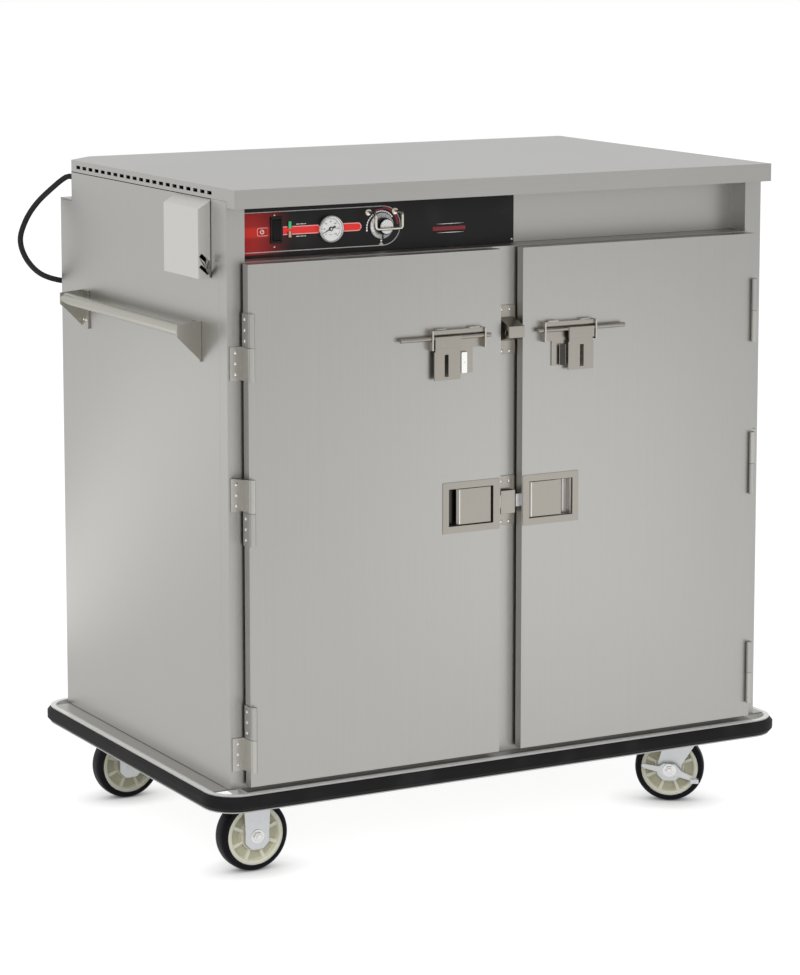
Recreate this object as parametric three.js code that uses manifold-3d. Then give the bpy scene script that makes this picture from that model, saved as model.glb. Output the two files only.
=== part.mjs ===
// A heated meal tray cart: a two-door stainless cabinet on a bumper-edged base with four casters.
// Millimetres. X runs along the front to the viewer's right, Y to the back, Z up from the floor.
// The origin is on the floor, in the middle of the cart.
import * as THREE from "three";
import { mergeVertices } from "three/addons/utils/BufferGeometryUtils.js";
import Module from "manifold-3d";

const wasm = await Module();
wasm.setup();

// ---------- driving dimensions ----------
const GAP = 0.3; // clearance between pieces that touch
const RUN = 0.4; // clearance round a pin that turns
const SHEET = 2.5; // folded sheet metal

// cabinet
const BODY_W = 1146;
const BODY_D = 746;
const TOP_Z = 1277;
const BODY_Z = 183; // underside of the cabinet
const WALL = 38; // insulated wall
const FLOOR_T = 30;
const CEILING_T = 23;
const LEDGE_Z = 1145; // top of the door frame, where the control recess starts
const PARTITION_T = 25;

// door frame and control recess
const FRAME_T = 30;
const POST_W = 50;
const MULLION_W = 89;
const UPPER_POST_W = 36;
const RECESS = 50;

// roof
const ROOF_OVERHANG = 34;
const FASCIA_H = 34;
const SKIRT_H = 22.5;
const CORNER_CUT_X = 62; // rear left corner, cut off for the cord outlet
const CORNER_CUT_Y = 56;
const CORNER_CUT_Z = 1197;
const VENT_COUNT = 21;
const VENT_PITCH = 29.4;
const VENT_L = 18;
const VENT_H = 6.5;

// base
const DECK_TOP = BODY_Z - GAP;
const DECK_T = 3;
const CHASSIS_Z = 161;
const BUMPER_SIDE = 48; // how far the bumper stands out at the ends
const BUMPER_FRONT = 45;
const BUMPER_R = 66;
const BUMPER_Z = 148.5;
const BUMPER_H = 33;

// doors
const DOOR_T = 20;
const SEAL_T = 5.7;
const SEAL_W = 12;
const DOOR_EDGE = 29; // from the cabinet's side to the door's edge
const DOOR_GAP = 47; // between the two doors
const DOOR_BOTTOM = 191;
const DOOR_TOP = 1143;

// hinges
const HINGE_H = 122;
const HINGE_Z = [279.5, 695.5, 994.5];
const KNUCKLE_R = 5.3;
const PIN_R = 3;
const LEAF_T = 2.4;

// latches
const LATCH_W = 96;
const LATCH_H = 71;
const LATCH_DEPTH = 16;
const LATCH_Z = 667;
const PADDLE_W = 70;
const PADDLE_H = 66;
const TONGUE_H = 24;
const TONGUE_T = 6;
const TONGUE_OUT = 7;
const TONGUE_BACK = 8;

// slide bolts
const BOLT_Z = 987;
const BOLT_R = 4.3;
const BOLT_L = 190;
const BOLT_TRAVEL = 48;
const BOLT_TIP = 51; // from the cart's middle plane to the drawn-back tip
const GUIDE_W = 114;
const GUIDE_H = 37;
const TAB_W = 55;
const TAB_H = 53;

// push handles
const BAR_R = 11.1;
const BAR_Z = 1014;
const BAR_OUT = 38;
const BAR_HALF = 268;

// casters
const WHEEL_R = 68.5;
const TREAD_W = 40;
const AXLE_R = 5;
const CASTER_X = 86; // in from the cabinet's sides
const CASTER_Y = 90;
const TRAIL = 41;
const FORK_T = 4;
const FORK_W = 50;
const SWIVEL_TURN = [34.4, -14]; // how the two swivel casters stand turned, front and rear

// controls on the recessed panel, measured from the cabinet's left side
const PANEL_Z = 1190.5;
const SWITCH_X = 121;
const LAMP_X = 148;
const GAUGE_X = 230;
const GAUGE_R = 25.5;
const KNOB_X = 337;
const KNOB_OUT = 22.5;
const GUARD_OUT = 30; // the guard's wire, from the panel
const GUARD_W = 55;
const GUARD_UP = 26; // its feet above the knob, and its bar below it
const GUARD_DOWN = 3;
const GUARD_WIRE_R = 2.2;
const GUARD_WASHER_R = 6.3;
const CONTROL_W = 582;

// cord
const CORD_D = 11;
const CORD_Z = 1240;
const COIL_X = 150; // centre of the hung coil, from the cabinet's left side
const COIL_Z = 955;
const COIL_R = 61; // mean radius of its turns
const COIL_PITCH = 11.5;
const COIL_TURNS = [3, 0.5, 3.75]; // winding in, changing layer, winding out

// ---------- derived places ----------
const HX = BODY_W / 2;
const FRONT = -BODY_D / 2;
const BACK = BODY_D / 2;
const INNER_X = HX - WALL;
const FLOOR_Z = BODY_Z + FLOOR_T;
const CEILING_Z = LEDGE_Z - CEILING_T;
const SKIRT_Z = TOP_Z - SKIRT_H;
const WALL_TOP = SKIRT_Z - GAP;
const DOOR_BACK = FRONT - SEAL_T - GAP;
const DOOR_FACE = DOOR_BACK - DOOR_T;
const DOOR_IN = DOOR_GAP / 2;
const DOOR_OUT = HX - DOOR_EDGE;
const HINGE_X = DOOR_OUT - 4.6;
const HINGE_Y = DOOR_FACE - 6;
const PANEL_Y = FRONT + RECESS - 1 - GAP; // back of the control panel
const PANEL_T = 3;
const PANEL_FACE = PANEL_Y - PANEL_T;

// ---------- solids ----------
function solid(geometry) {
  const g = (geometry.index ? geometry.toNonIndexed() : geometry).clone();
  g.deleteAttribute("normal");
  g.deleteAttribute("uv");
  const merged = mergeVertices(g, 1e-4);
  const mesh = new wasm.Mesh({
    numProp: 3,
    vertProperties: merged.attributes.position.array,
    triVerts: new Uint32Array(merged.index.array),
  });
  return new wasm.Manifold(mesh);
}

function box(x0, x1, y0, y1, z0, z1) {
  const g = new THREE.BoxGeometry(x1 - x0, y1 - y0, z1 - z0);
  return solid(g.translate((x0 + x1) / 2, (y0 + y1) / 2, (z0 + z1) / 2));
}

const AXIS_TURN = {
  x: (g) => g.rotateZ(-Math.PI / 2),
  y: (g) => g,
  z: (g) => g.rotateX(Math.PI / 2),
};

// A cylinder from one place to another along a main axis, centred at [a, b] in the other two.
function rod(axis, r, from, to, a, b, sides = 16) {
  const g = AXIS_TURN[axis](new THREE.CylinderGeometry(r, r, to - from, sides));
  const mid = (from + to) / 2;
  const place = { x: [mid, a, b], y: [a, mid, b], z: [a, b, mid] }[axis];
  return solid(g.translate(...place));
}

// An outline of [x, y] points, drawn up in Z.
function prism(points, z0, z1) {
  const shape = new THREE.Shape(points.map(([x, y]) => new THREE.Vector2(x, y)));
  const g = new THREE.ExtrudeGeometry(shape, { depth: z1 - z0, bevelEnabled: false });
  return solid(g.translate(0, 0, z0));
}

// An outline of [x, z] points, drawn along Y.
function slab(points, y0, y1) {
  const shape = new THREE.Shape(points.map(([x, z]) => new THREE.Vector2(x, z)));
  const g = new THREE.ExtrudeGeometry(shape, { depth: y1 - y0, bevelEnabled: false });
  return solid(g.rotateX(Math.PI / 2).translate(0, y1, 0));
}

// A turned piece about Z: its profile is [radius, z] points, starting and ending on the axis
// or closed on itself, anticlockwise.
function turned(profile, steps = 24) {
  const points = profile.map(([r, z]) => new THREE.Vector2(r, z));
  const closed = profile[0][0] > 0;
  if (closed) points.push(points[0].clone());
  return solid(new THREE.LatheGeometry(points, steps).rotateX(Math.PI / 2));
}

function moved(part, x, y, z) {
  return part.translate([x, y, z]);
}

function mirrored(part) {
  return part.mirror([1, 0, 0]);
}

function sum(...parts) {
  return parts.reduce((a, b) => a.add(b));
}

// A profile of [outward, z] points, anticlockwise, carried round a rectangle with round corners.
function ring(profile, hx, hy, r, steps = 6) {
  const stations = [];
  const corners = [[1, -1, -90], [1, 1, 0], [-1, 1, 90], [-1, -1, 180]];
  for (const [sx, sy, start] of corners) {
    for (let i = 0; i <= steps; i++) {
      const a = THREE.MathUtils.degToRad(start + (90 * i) / steps);
      const centre = [sx * (hx - r), sy * (hy - r)];
      stations.push((d) => [centre[0] + (r + d) * Math.cos(a), centre[1] + (r + d) * Math.sin(a)]);
    }
  }
  const loops = stations.map((at) => profile.map(([d, z]) => [...at(d), z]));
  return solid(skin(loops, true));
}

// A surface through loops of points; open ends are closed with a fan.
function skin(loops, joined) {
  const n = loops[0].length;
  const positions = [];
  const quad = (a, b, c, d) => positions.push(...a, ...b, ...c, ...a, ...c, ...d);
  const last = joined ? loops.length : loops.length - 1;
  for (let i = 0; i < last; i++) {
    const here = loops[i];
    const next = loops[(i + 1) % loops.length];
    for (let k = 0; k < n; k++) {
      const m = (k + 1) % n;
      quad(here[k], next[k], next[m], here[m]);
    }
  }
  if (!joined) {
    for (let k = 1; k < n - 1; k++) {
      positions.push(...loops[0][0], ...loops[0][k], ...loops[0][k + 1]);
      const end = loops[loops.length - 1];
      positions.push(...end[0], ...end[k + 1], ...end[k]);
    }
  }
  const g = new THREE.BufferGeometry();
  g.setAttribute("position", new THREE.Float32BufferAttribute(positions, 3));
  return g;
}

// ---------- finishes ----------
const FINISH = {
  stainless: [0xb9b9b4, 0.35, 0.9],
  polished: [0xd2d2ce, 0.18, 1.0],
  zinc: [0xa9adb0, 0.4, 0.9],
  black_rubber: [0x232323, 0.8, 0],
  black_panel: [0x1b1b1c, 0.35, 0],
  black_plastic: [0x141414, 0.5, 0],
  chrome: [0xdadada, 0.1, 1.0],
  green_lens: [0x2fa866, 0.3, 0],
  amber_lens: [0xd9a25a, 0.3, 0],
  dark_pointer: [0x2a2a2a, 0.5, 0],
};

const cart = new THREE.Group();

function add(name, part, finish) {
  const mesh = part.getMesh();
  const g = new THREE.BufferGeometry();
  g.setAttribute("position", new THREE.BufferAttribute(new Float32Array(mesh.vertProperties), 3));
  g.setIndex(new THREE.BufferAttribute(new Uint32Array(mesh.triVerts), 1));
  const [color, roughness, metalness] = FINISH[finish];
  const material = new THREE.MeshStandardMaterial({ color, roughness, metalness });
  const made = new THREE.Mesh(g, material);
  made.name = name;
  cart.add(made);
}

const SIDES = [
  { name: "left", side: -1 },
  { name: "right", side: 1 },
];

// Places a piece drawn for the right-hand side on the side asked for.
function onSide(side, part) {
  return side > 0 ? part : mirrored(part);
}

// ---------- base ----------
function baseFrame() {
  const lip = 19; // how far the channel reaches inwards
  const throat = 7; // how far the rubber stands out of it
  const z0 = BUMPER_Z;
  const z1 = BUMPER_Z + BUMPER_H;
  const channel = ring(
    [
      [-lip, z0], [-throat, z0], [-throat, z0 + SHEET], [-lip + SHEET, z0 + SHEET],
      [-lip + SHEET, z1 - SHEET], [-throat, z1 - SHEET], [-throat, z1], [-lip, z1],
    ],
    HX + BUMPER_SIDE, BACK + BUMPER_FRONT, BUMPER_R,
  );
  const reachX = HX + BUMPER_SIDE - lip + 1;
  const reachY = BACK + BUMPER_FRONT - lip + 1;
  const cut = 22; // the deck's open corners reach this far in under the cabinet
  const deck = sum(
    box(-reachX, reachX, FRONT + cut / 2, BACK - cut / 2, DECK_TOP - DECK_T, DECK_TOP),
    box(-HX + cut, HX - cut, -reachY, reachY, DECK_TOP - DECK_T, DECK_TOP),
  );
  const railY = BACK - 25;
  const railX = HX - 28;
  const railW = 90;
  const rails = sum(
    box(-railX, railX, -railY, -railY + railW + 20, CHASSIS_Z, DECK_TOP - 1),
    box(-railX, railX, railY - railW - 20, railY, CHASSIS_Z, DECK_TOP - 1),
    box(-railX, -railX + railW + 20, -railY, railY, CHASSIS_Z, DECK_TOP - 1),
    box(railX - railW - 20, railX, -railY, railY, CHASSIS_Z, DECK_TOP - 1),
  );
  return sum(channel, deck, rails);
}

function bumperStrip() {
  const z0 = BUMPER_Z + SHEET + GAP;
  const z1 = BUMPER_Z + BUMPER_H - SHEET - GAP;
  const back = -19 + SHEET + GAP;
  const profile = [[back, z0], [-6, z0], [0, z0 + 7], [0, z1 - 7], [-6, z1], [back, z1]];
  return ring(profile, HX + BUMPER_SIDE, BACK + BUMPER_FRONT, BUMPER_R);
}

// ---------- cabinet ----------
const WALL_FRONT = FRONT + FRAME_T + GAP;

function sideWall(side) {
  const x0 = HX - WALL;
  const skinX = HX - SHEET;
  const cutRear = side < 0;
  const lower = box(x0, HX, WALL_FRONT, BACK, BODY_Z, LEDGE_Z);
  const top = cutRear ? CORNER_CUT_Z : WALL_TOP;
  const upper = box(skinX, HX, FRONT + RECESS + GAP, BACK, LEDGE_Z - 1, top);
  const high = box(skinX, HX, FRONT + RECESS + GAP, BACK - CORNER_CUT_Y, LEDGE_Z - 1, WALL_TOP);
  return onSide(side, sum(lower, upper, high));
}

function backWall() {
  const in1 = HX - WALL - GAP;
  const skinIn = HX - SHEET - GAP;
  const cutX = -HX + CORNER_CUT_X;
  const cutY = BACK - CORNER_CUT_Y;
  const lower = box(-in1, in1, BACK - WALL, BACK, BODY_Z, LEDGE_Z);
  const joint = box(-in1, in1, BACK - SHEET, BACK, LEDGE_Z - 1, LEDGE_Z + 1);
  const skinLow = box(-skinIn, skinIn, BACK - SHEET, BACK, LEDGE_Z + GAP, CORNER_CUT_Z + 1);
  const skinHigh = box(cutX, skinIn, BACK - SHEET, BACK, LEDGE_Z + GAP, WALL_TOP);
  // the cut corner: a sloping outlet plate over a three-cornered ledge
  const z0 = CORNER_CUT_Z + GAP;
  const start = cutY + GAP;
  const plate = prism(
    [[-HX, start], [-HX + 4, start], [cutX + 4, BACK - SHEET], [cutX + 4, BACK], [cutX, BACK]],
    z0, WALL_TOP,
  );
  const ledge = prism([[-HX, start], [cutX + 4, BACK], [-HX, BACK]], z0, z0 + SHEET);
  return sum(lower, joint, skinLow, skinHigh, plate, ledge);
}

// Floor, ceiling and the wall between the two compartments, welded as one.
function cabinetLiner() {
  const y1 = BACK - WALL - GAP;
  const x1 = INNER_X - GAP;
  const half = PARTITION_T / 2;
  const blowHole = rod("z", 60, CEILING_Z - 5, LEDGE_Z + 5, -HX / 2, 0, 24);
  const vents = rod("z", 60, CEILING_Z - 5, LEDGE_Z + 5, HX / 2, 0, 24);
  return sum(
    box(-x1, x1, WALL_FRONT, y1, BODY_Z, FLOOR_Z),
    box(-x1, x1, WALL_FRONT, y1, CEILING_Z, LEDGE_Z),
    box(-half, half, WALL_FRONT, y1, FLOOR_Z - 1, CEILING_Z + 1),
  ).subtract(blowHole).subtract(vents);
}

// Posts, mullion, sill and header with the back of the control recess.
function doorFrame() {
  const opening = (x0, x1) => box(x0, x1, FRONT - 5, FRONT + FRAME_T + 5, FLOOR_Z, CEILING_Z);
  const half = MULLION_W / 2;
  const backY = FRONT + RECESS;
  const x0 = HX - UPPER_POST_W;
  const skinX = HX - SHEET - GAP;
  const upper = box(x0, HX, FRONT, backY, LEDGE_Z + GAP, WALL_TOP);
  const foot = box(x0, HX, FRONT, FRONT + FRAME_T, LEDGE_Z - 1, LEDGE_Z + 1);
  const plain = sum(
    box(-HX, HX, FRONT, FRONT + FRAME_T, BODY_Z, LEDGE_Z),
    ...[-1, 1].map((side) => onSide(side, upper.add(foot))),
    box(-skinX, skinX, backY - 1, backY + SHEET, LEDGE_Z + GAP, WALL_TOP),
  );
  return plain.subtract(opening(-HX + POST_W, -half)).subtract(opening(half, HX - POST_W));
}

function roofOutline(inset) {
  const x = HX - inset;
  const y0 = FRONT - ROOF_OVERHANG + inset;
  const y1 = BACK - inset;
  const lean = inset * 0.42; // keeps the sloping wall as thick as the others
  return [
    [-x, y0], [x, y0], [x, y1],
    [-HX + CORNER_CUT_X + lean, y1], [-x, BACK - CORNER_CUT_Y - lean],
  ];
}

// The roof sheet with its vented skirt and the deep fascia over the control recess.
function roof() {
  const shell = prism(roofOutline(0), SKIRT_Z, TOP_Z)
    .subtract(prism(roofOutline(SHEET), SKIRT_Z - 1, TOP_Z - SHEET));
  const fasciaY = FRONT - ROOF_OVERHANG;
  const fascia = box(-HX, HX, fasciaY, fasciaY + SHEET, TOP_Z - FASCIA_H, SKIRT_Z + 5);
  const tab = (side) =>
    onSide(side, box(HX - SHEET, HX, fasciaY, FRONT - 1, TOP_Z - FASCIA_H, SKIRT_Z + 5));
  const parts = sum(shell, fascia, tab(-1), tab(1));
  const first = FRONT + 68;
  let cuts = null;
  for (let i = 0; i < VENT_COUNT; i++) {
    const y = first + i * VENT_PITCH;
    const z = TOP_Z - 12.5;
    const cut = box(-HX - 1, HX + 1, y - VENT_L / 2, y + VENT_L / 2, z - VENT_H / 2, z + VENT_H / 2);
    cuts = cuts ? cuts.add(cut) : cut;
  }
  return parts.subtract(cuts);
}

// The vented cover on the cart's left side.
function louvreBox() {
  const y0 = FRONT + 64;
  const y1 = y0 + 146;
  const out = 25;
  const z0 = 1111;
  const z1 = 1252;
  const drop = 15; // the lid slopes down by this much
  const shape = (inset) => [
    [-HX - GAP + (inset ? 1 : 0), z0 + inset], [-HX - GAP + (inset ? 1 : 0), z1 - inset],
    [-HX - out + inset, z1 - drop - inset], [-HX - out + inset, z0 + inset],
  ];
  const shell = slab(shape(0), y0, y1).subtract(slab(shape(1.6), y0 + 1.6, y1 - 1.6));
  const slot = (z) => {
    const g = new THREE.BoxGeometry(22, 6, 6.4).rotateY(THREE.MathUtils.degToRad(42));
    return solid(g.translate(-HX - out / 2, y0 + 1, z));
  };
  return shell.subtract(slot(1146)).subtract(slot(1127));
}

// A round push bar on two end brackets, for the right-hand side.
function pushHandle() {
  const barX = HX + BAR_OUT;
  const outer = barX + BAR_R;
  const bracketT = 4;
  const flange = 32;
  const wallZ0 = BAR_Z - 59;
  const wallZ1 = BAR_Z + 15;
  const bracket = (end) => {
    const y = end * BAR_HALF;
    const y0 = end > 0 ? y - bracketT : y;
    const outline = [
      [HX + GAP, wallZ0], [HX + GAP, wallZ1], [outer, BAR_Z + BAR_R], [outer, BAR_Z - BAR_R],
    ];
    const plate = slab(outline, y0, y0 + bracketT);
    const f0 = end > 0 ? y - flange : y;
    return plate.add(box(HX + GAP, HX + GAP + bracketT, f0, f0 + flange, wallZ0, wallZ1));
  };
  const bar = rod("y", BAR_R, -BAR_HALF + 1, BAR_HALF - 1, barX, BAR_Z, 20);
  return sum(bar, bracket(-1), bracket(1));
}

// ---------- doors, drawn for the right-hand side ----------
const LATCH_IN = DOOR_IN + 15; // the latch recess's edge next to the mullion

function door() {
  const panel = box(DOOR_IN, DOOR_OUT, DOOR_FACE, DOOR_BACK, DOOR_BOTTOM, DOOR_TOP);
  const z0 = LATCH_Z - LATCH_H / 2;
  const recess = box(
    LATCH_IN, LATCH_IN + LATCH_W, DOOR_FACE - 1, DOOR_FACE + LATCH_DEPTH, z0, z0 + LATCH_H,
  );
  const t = TONGUE_H / 2 + GAP;
  const slot = box(
    DOOR_IN - 1, LATCH_IN + 14, tongueY() - TONGUE_T / 2 - GAP, tongueY() + TONGUE_T / 2 + GAP,
    LATCH_Z - t, LATCH_Z + t,
  );
  let made = panel.subtract(recess).subtract(slot);
  for (const [i, z] of HINGE_Z.entries()) {
    made = made.add(doorLeaf(z, i === 1 ? -1 : 1));
  }
  return made;
}

function tongueY() {
  return DOOR_FACE + LATCH_DEPTH - TONGUE_T / 2 - GAP;
}

// up is 1 where this half of the hinge is the upper one.
function halfHinge(z, up) {
  const play = 0.4;
  const half = HINGE_H / 2;
  return up > 0 ? [z + play, z + half] : [z - half, z - play];
}

function doorLeaf(z, up) {
  const [z0, z1] = halfHinge(z, up);
  const leafX = DOOR_OUT + LEAF_T;
  const bore = rod("z", PIN_R + RUN, z0 - 1, z1 - 8 * up, HINGE_X, HINGE_Y, 16);
  const boreDown = rod("z", PIN_R + RUN, z0 + 8, z1 + 1, HINGE_X, HINGE_Y, 16);
  const made = sum(
    box(DOOR_OUT - 1, leafX, DOOR_FACE, DOOR_BACK, z0, z1),
    box(HINGE_X + 2, leafX, HINGE_Y, DOOR_FACE + 1, z0, z1),
    rod("z", KNUCKLE_R, z0, z1, HINGE_X, HINGE_Y, 16),
  );
  return made.subtract(up > 0 ? bore : boreDown);
}

function frameLeaf(z, up) {
  const [z0, z1] = halfHinge(z, up);
  const pin0 = up > 0 ? z0 - 40 : z1 - 5;
  const pin1 = up > 0 ? z0 + 5 : z1 + 40;
  const armX = DOOR_OUT + LEAF_T + GAP;
  return sum(
    box(DOOR_OUT + GAP, HX - 4, FRONT - GAP - LEAF_T, FRONT - GAP, z0, z1),
    box(DOOR_OUT + GAP, armX, HINGE_Y, FRONT - GAP, z0, z1),
    box(HINGE_X + 2, armX, HINGE_Y, HINGE_Y + LEAF_T, z0, z1),
    rod("z", KNUCKLE_R, z0, z1, HINGE_X, HINGE_Y, 16),
    rod("z", PIN_R, pin0, pin1, HINGE_X, HINGE_Y, 16),
  );
}

function doorSeal() {
  const x0 = DOOR_IN + 6;
  const x1 = HINGE_X - 3;
  const z0 = DOOR_BOTTOM + 6;
  const z1 = DOOR_TOP - 6;
  const y0 = DOOR_BACK + GAP / 2;
  const y1 = FRONT - GAP / 2;
  const outer = box(x0, x1, y0, y1, z0, z1);
  const w = SEAL_W;
  return outer.subtract(box(x0 + w, x1 - w, y0 - 1, y1 + 1, z0 + w, z1 - w));
}

// The pull paddle turns about an upright pin at the recess's edge next to the mullion.
const PADDLE_PIN_X = LATCH_IN + 5;
const PADDLE_PIN_Y = DOOR_FACE + 5;

function paddle() {
  const x1 = LATCH_IN + 2 + PADDLE_W;
  const z0 = LATCH_Z - PADDLE_H / 2;
  const z1 = LATCH_Z + PADDLE_H / 2;
  const bend = 4;
  const outline = [
    [LATCH_IN + 6, DOOR_FACE + 2], [x1, DOOR_FACE + 2], [x1 + bend, DOOR_FACE + 6],
    [x1 + bend - 2, DOOR_FACE + 7.5], [x1 - 1, DOOR_FACE + 4.4], [LATCH_IN + 6, DOOR_FACE + 4.4],
  ];
  const knuckle = rod("z", 3.2, z0, z1, PADDLE_PIN_X, PADDLE_PIN_Y, 12);
  const pivots = rod("z", 1.8, z0 - 2.2, z1 + 2.2, PADDLE_PIN_X, PADDLE_PIN_Y, 10);
  return sum(prism(outline, z0, z1), knuckle, pivots);
}

function tongue() {
  const y = tongueY();
  const x0 = DOOR_IN - TONGUE_OUT;
  const x1 = LATCH_IN + 14 - GAP - TONGUE_BACK;
  const outline = [
    [x0, y - TONGUE_T / 2], [x1, y - TONGUE_T / 2], [x1, y + TONGUE_T / 2],
    [x0 + 6, y + TONGUE_T / 2], [x0, y - TONGUE_T / 2 + 3],
  ];
  return prism(outline, LATCH_Z - TONGUE_H / 2, LATCH_Z + TONGUE_H / 2);
}

function latchStrike() {
  const half = 21;
  const plate = box(-half, half, FRONT - GAP - 2, FRONT - GAP, LATCH_Z - 47, LATCH_Z + 46);
  const boxHalf = DOOR_IN - TONGUE_OUT - 1;
  const z0 = LATCH_Z - 24;
  const z1 = LATCH_Z + 20;
  const y0 = FRONT - 15;
  const block = box(-boxHalf, boxHalf, y0, FRONT - GAP - 1, z0, z1)
    .subtract(box(-boxHalf + 3, boxHalf - 3, y0 + 3, FRONT - GAP - 2, z0 - 1, z1 + 1));
  return plate.add(block);
}

// ---------- slide bolts, drawn for the right-hand side ----------
const GUIDE_X0 = 63;
const BOLT_Y = DOOR_FACE - 9;

const GUIDE_Z0 = BOLT_Z - 22;
const GUIDE_Z1 = GUIDE_Z0 + GUIDE_H;
const TAB_TOP = GUIDE_Z0 - 3;

function boltGuide() {
  const x1 = GUIDE_X0 + GUIDE_W;
  const y1 = DOOR_FACE - GAP;
  const post = 3;
  const flange = (x) => box(x, x + post, BOLT_Y - BOLT_R - 1, y1, GUIDE_Z0, GUIDE_Z1);
  const bracketX = GUIDE_X0 + 36;
  const pocket = box(bracketX - 1, bracketX + 12, y1 - 5.5, y1 - 2, TAB_TOP - 41, TAB_TOP - 6);
  const made = sum(
    box(GUIDE_X0, x1, y1 - 2, y1, GUIDE_Z0, GUIDE_Z1),
    box(GUIDE_X0, x1, y1 - 10, y1, GUIDE_Z1 - 8, GUIDE_Z1),
    box(bracketX - 14, bracketX + 14, y1 - 2, y1, TAB_TOP - 44, GUIDE_Z0 + 1),
    box(bracketX, bracketX + 14, y1 - 7.5, y1, TAB_TOP - 43, TAB_TOP - 4),
    flange(GUIDE_X0), flange(x1 - post),
  );
  return made.subtract(pocket)
    .subtract(rod("x", BOLT_R + RUN, GUIDE_X0 - 1, x1 + 1, BOLT_Y, BOLT_Z, 16));
}

function tabX0() {
  return GUIDE_X0 + GUIDE_W - TAB_W - 6;
}

function boltRod() {
  const x0 = BOLT_TIP;
  const bar = rod("x", BOLT_R, x0, x0 + BOLT_L, BOLT_Y, BOLT_Z, 16);
  const tabY = BOLT_Y - 3;
  const z0 = TAB_TOP - TAB_H;
  const x1 = tabX0() + TAB_W;
  const cover = box(tabX0(), x1, BOLT_Y - BOLT_R - 2, BOLT_Y - 2, GUIDE_Z0 + 4, BOLT_Z + 3);
  const neck = box(tabX0() + 2, x1 - 2, tabY, BOLT_Y, TAB_TOP - 1, GUIDE_Z0 + 5);
  const plate = box(tabX0(), x1, tabY, BOLT_Y, z0, TAB_TOP);
  const slotX = tabX0() + TAB_W / 2 + 2;
  const slot = box(slotX - 4, slotX + 4, tabY - 1, tabY + 4, z0 + 6, TAB_TOP - 6);
  return sum(bar, cover, neck, plate).subtract(slot);
}

function boltKeeper() {
  const half = 21;
  const plate = box(-half, half, FRONT - GAP - 2, FRONT - GAP, BOLT_Z - 44, BOLT_Z + 48);
  const y0 = BOLT_Y - BOLT_R - 5;
  const y1 = FRONT - GAP - 1;
  const side = [[y1, BOLT_Z - 19], [y1, BOLT_Z + 26], [y0, BOLT_Z + 13], [y0, BOLT_Z - 8.5]];
  const shape = new THREE.Shape(side.map(([y, z]) => new THREE.Vector2(y, z)));
  const g = new THREE.ExtrudeGeometry(shape, { depth: 33, bevelEnabled: false });
  // the outline's first axis runs to the back and its second runs up
  const block = solid(g.rotateY(Math.PI / 2).rotateX(Math.PI / 2)).translate([-16.5, 0, 0]);
  const bore = rod("x", BOLT_R + 1, -18, 18, BOLT_Y, BOLT_Z, 16);
  return plate.add(block).subtract(bore);
}

// ---------- casters, drawn with the wheel's axle along Y and the wheel at the origin ----------
const PLATE_Z = CHASSIS_Z - GAP;
const LEG_Y = TREAD_W / 2 + 2;

function forkLegs(x, topX0, topX1, topZ) {
  const leg = (side) => {
    const y0 = side > 0 ? LEG_Y : -LEG_Y - FORK_T;
    const r = FORK_W / 2 - 1;
    const chin = 12;
    const outline = [
      [topX0, topZ], [topX1, topZ], [x + r, WHEEL_R + 8], [x + r, WHEEL_R - 12],
      [x + chin, WHEEL_R - r], [x - chin, WHEEL_R - r], [x - r, WHEEL_R - 12], [x - r, WHEEL_R + 8],
    ];
    return slab(outline.reverse(), y0, y0 + FORK_T);
  };
  const reach = LEG_Y + FORK_T;
  const axle = rod("y", AXLE_R, -reach - 6, reach + 6, x, WHEEL_R, 12);
  const nut = rod("y", 8.5, -reach - 5, -reach + 1, x, WHEEL_R, 6);
  const nutBack = rod("y", 8.5, reach - 1, reach + 5, x, WHEEL_R, 6);
  return sum(leg(-1), leg(1), axle, nut, nutBack);
}

function rigidCaster() {
  const reach = LEG_Y + FORK_T;
  const bridge = box(-28, 28, -reach, reach, 140, 145);
  const block = box(-28, 28, -reach, -reach + FORK_T, 140, PLATE_Z - 1);
  const blockBack = box(-28, 28, reach - FORK_T, reach, 140, PLATE_Z - 1);
  const plate = box(-50, 50, -42, 42, PLATE_Z - 4, PLATE_Z);
  return sum(forkLegs(0, -28, 28, 144), bridge, block, blockBack, plate);
}

function wheel() {
  const w = TREAD_W / 2;
  const profile = [
    [AXLE_R + RUN, -w], [14, -w], [16, -w + 8], [49, -w + 8], [51, -w + 2], [58, -w + 1.5],
    [66, -w + 4], [WHEEL_R, -w + 9], [WHEEL_R, w - 9], [66, w - 4], [58, w - 1.5], [51, w - 2],
    [49, w - 8], [16, w - 8], [14, w], [AXLE_R + RUN, w],
  ];
  return turned(profile, 32).rotate([90, 0, 0]).translate([0, 0, WHEEL_R]);
}

const RACE_Z = 148;

function swivelPlate() {
  const plate = box(-52, 52, -44, 44, PLATE_Z - 4, PLATE_Z);
  const race = turned([[0, RACE_Z], [30, RACE_Z], [34, RACE_Z + 4], [34, PLATE_Z - 2], [0, PLATE_Z - 2]]);
  const bore = rod("z", 6 + RUN, RACE_Z - 1, PLATE_Z - 4, 0, 0, 16);
  return plate.add(race).subtract(bore);
}

// The wheel trails behind the kingpin, on the -X side.
function swivelFork() {
  const reach = LEG_Y + FORK_T;
  const top = RACE_Z - GAP;
  const crown = turned([[0, 138], [33, 138], [33, top - 2], [30, top], [0, top]]);
  const bridge = box(-46, 24, -reach, reach, 138, 143);
  const kingpin = rod("z", 6, top - 2, PLATE_Z - 6, 0, 0, 16);
  return sum(forkLegs(-TRAIL, -46, 24, 142), crown, bridge, kingpin);
}

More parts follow.
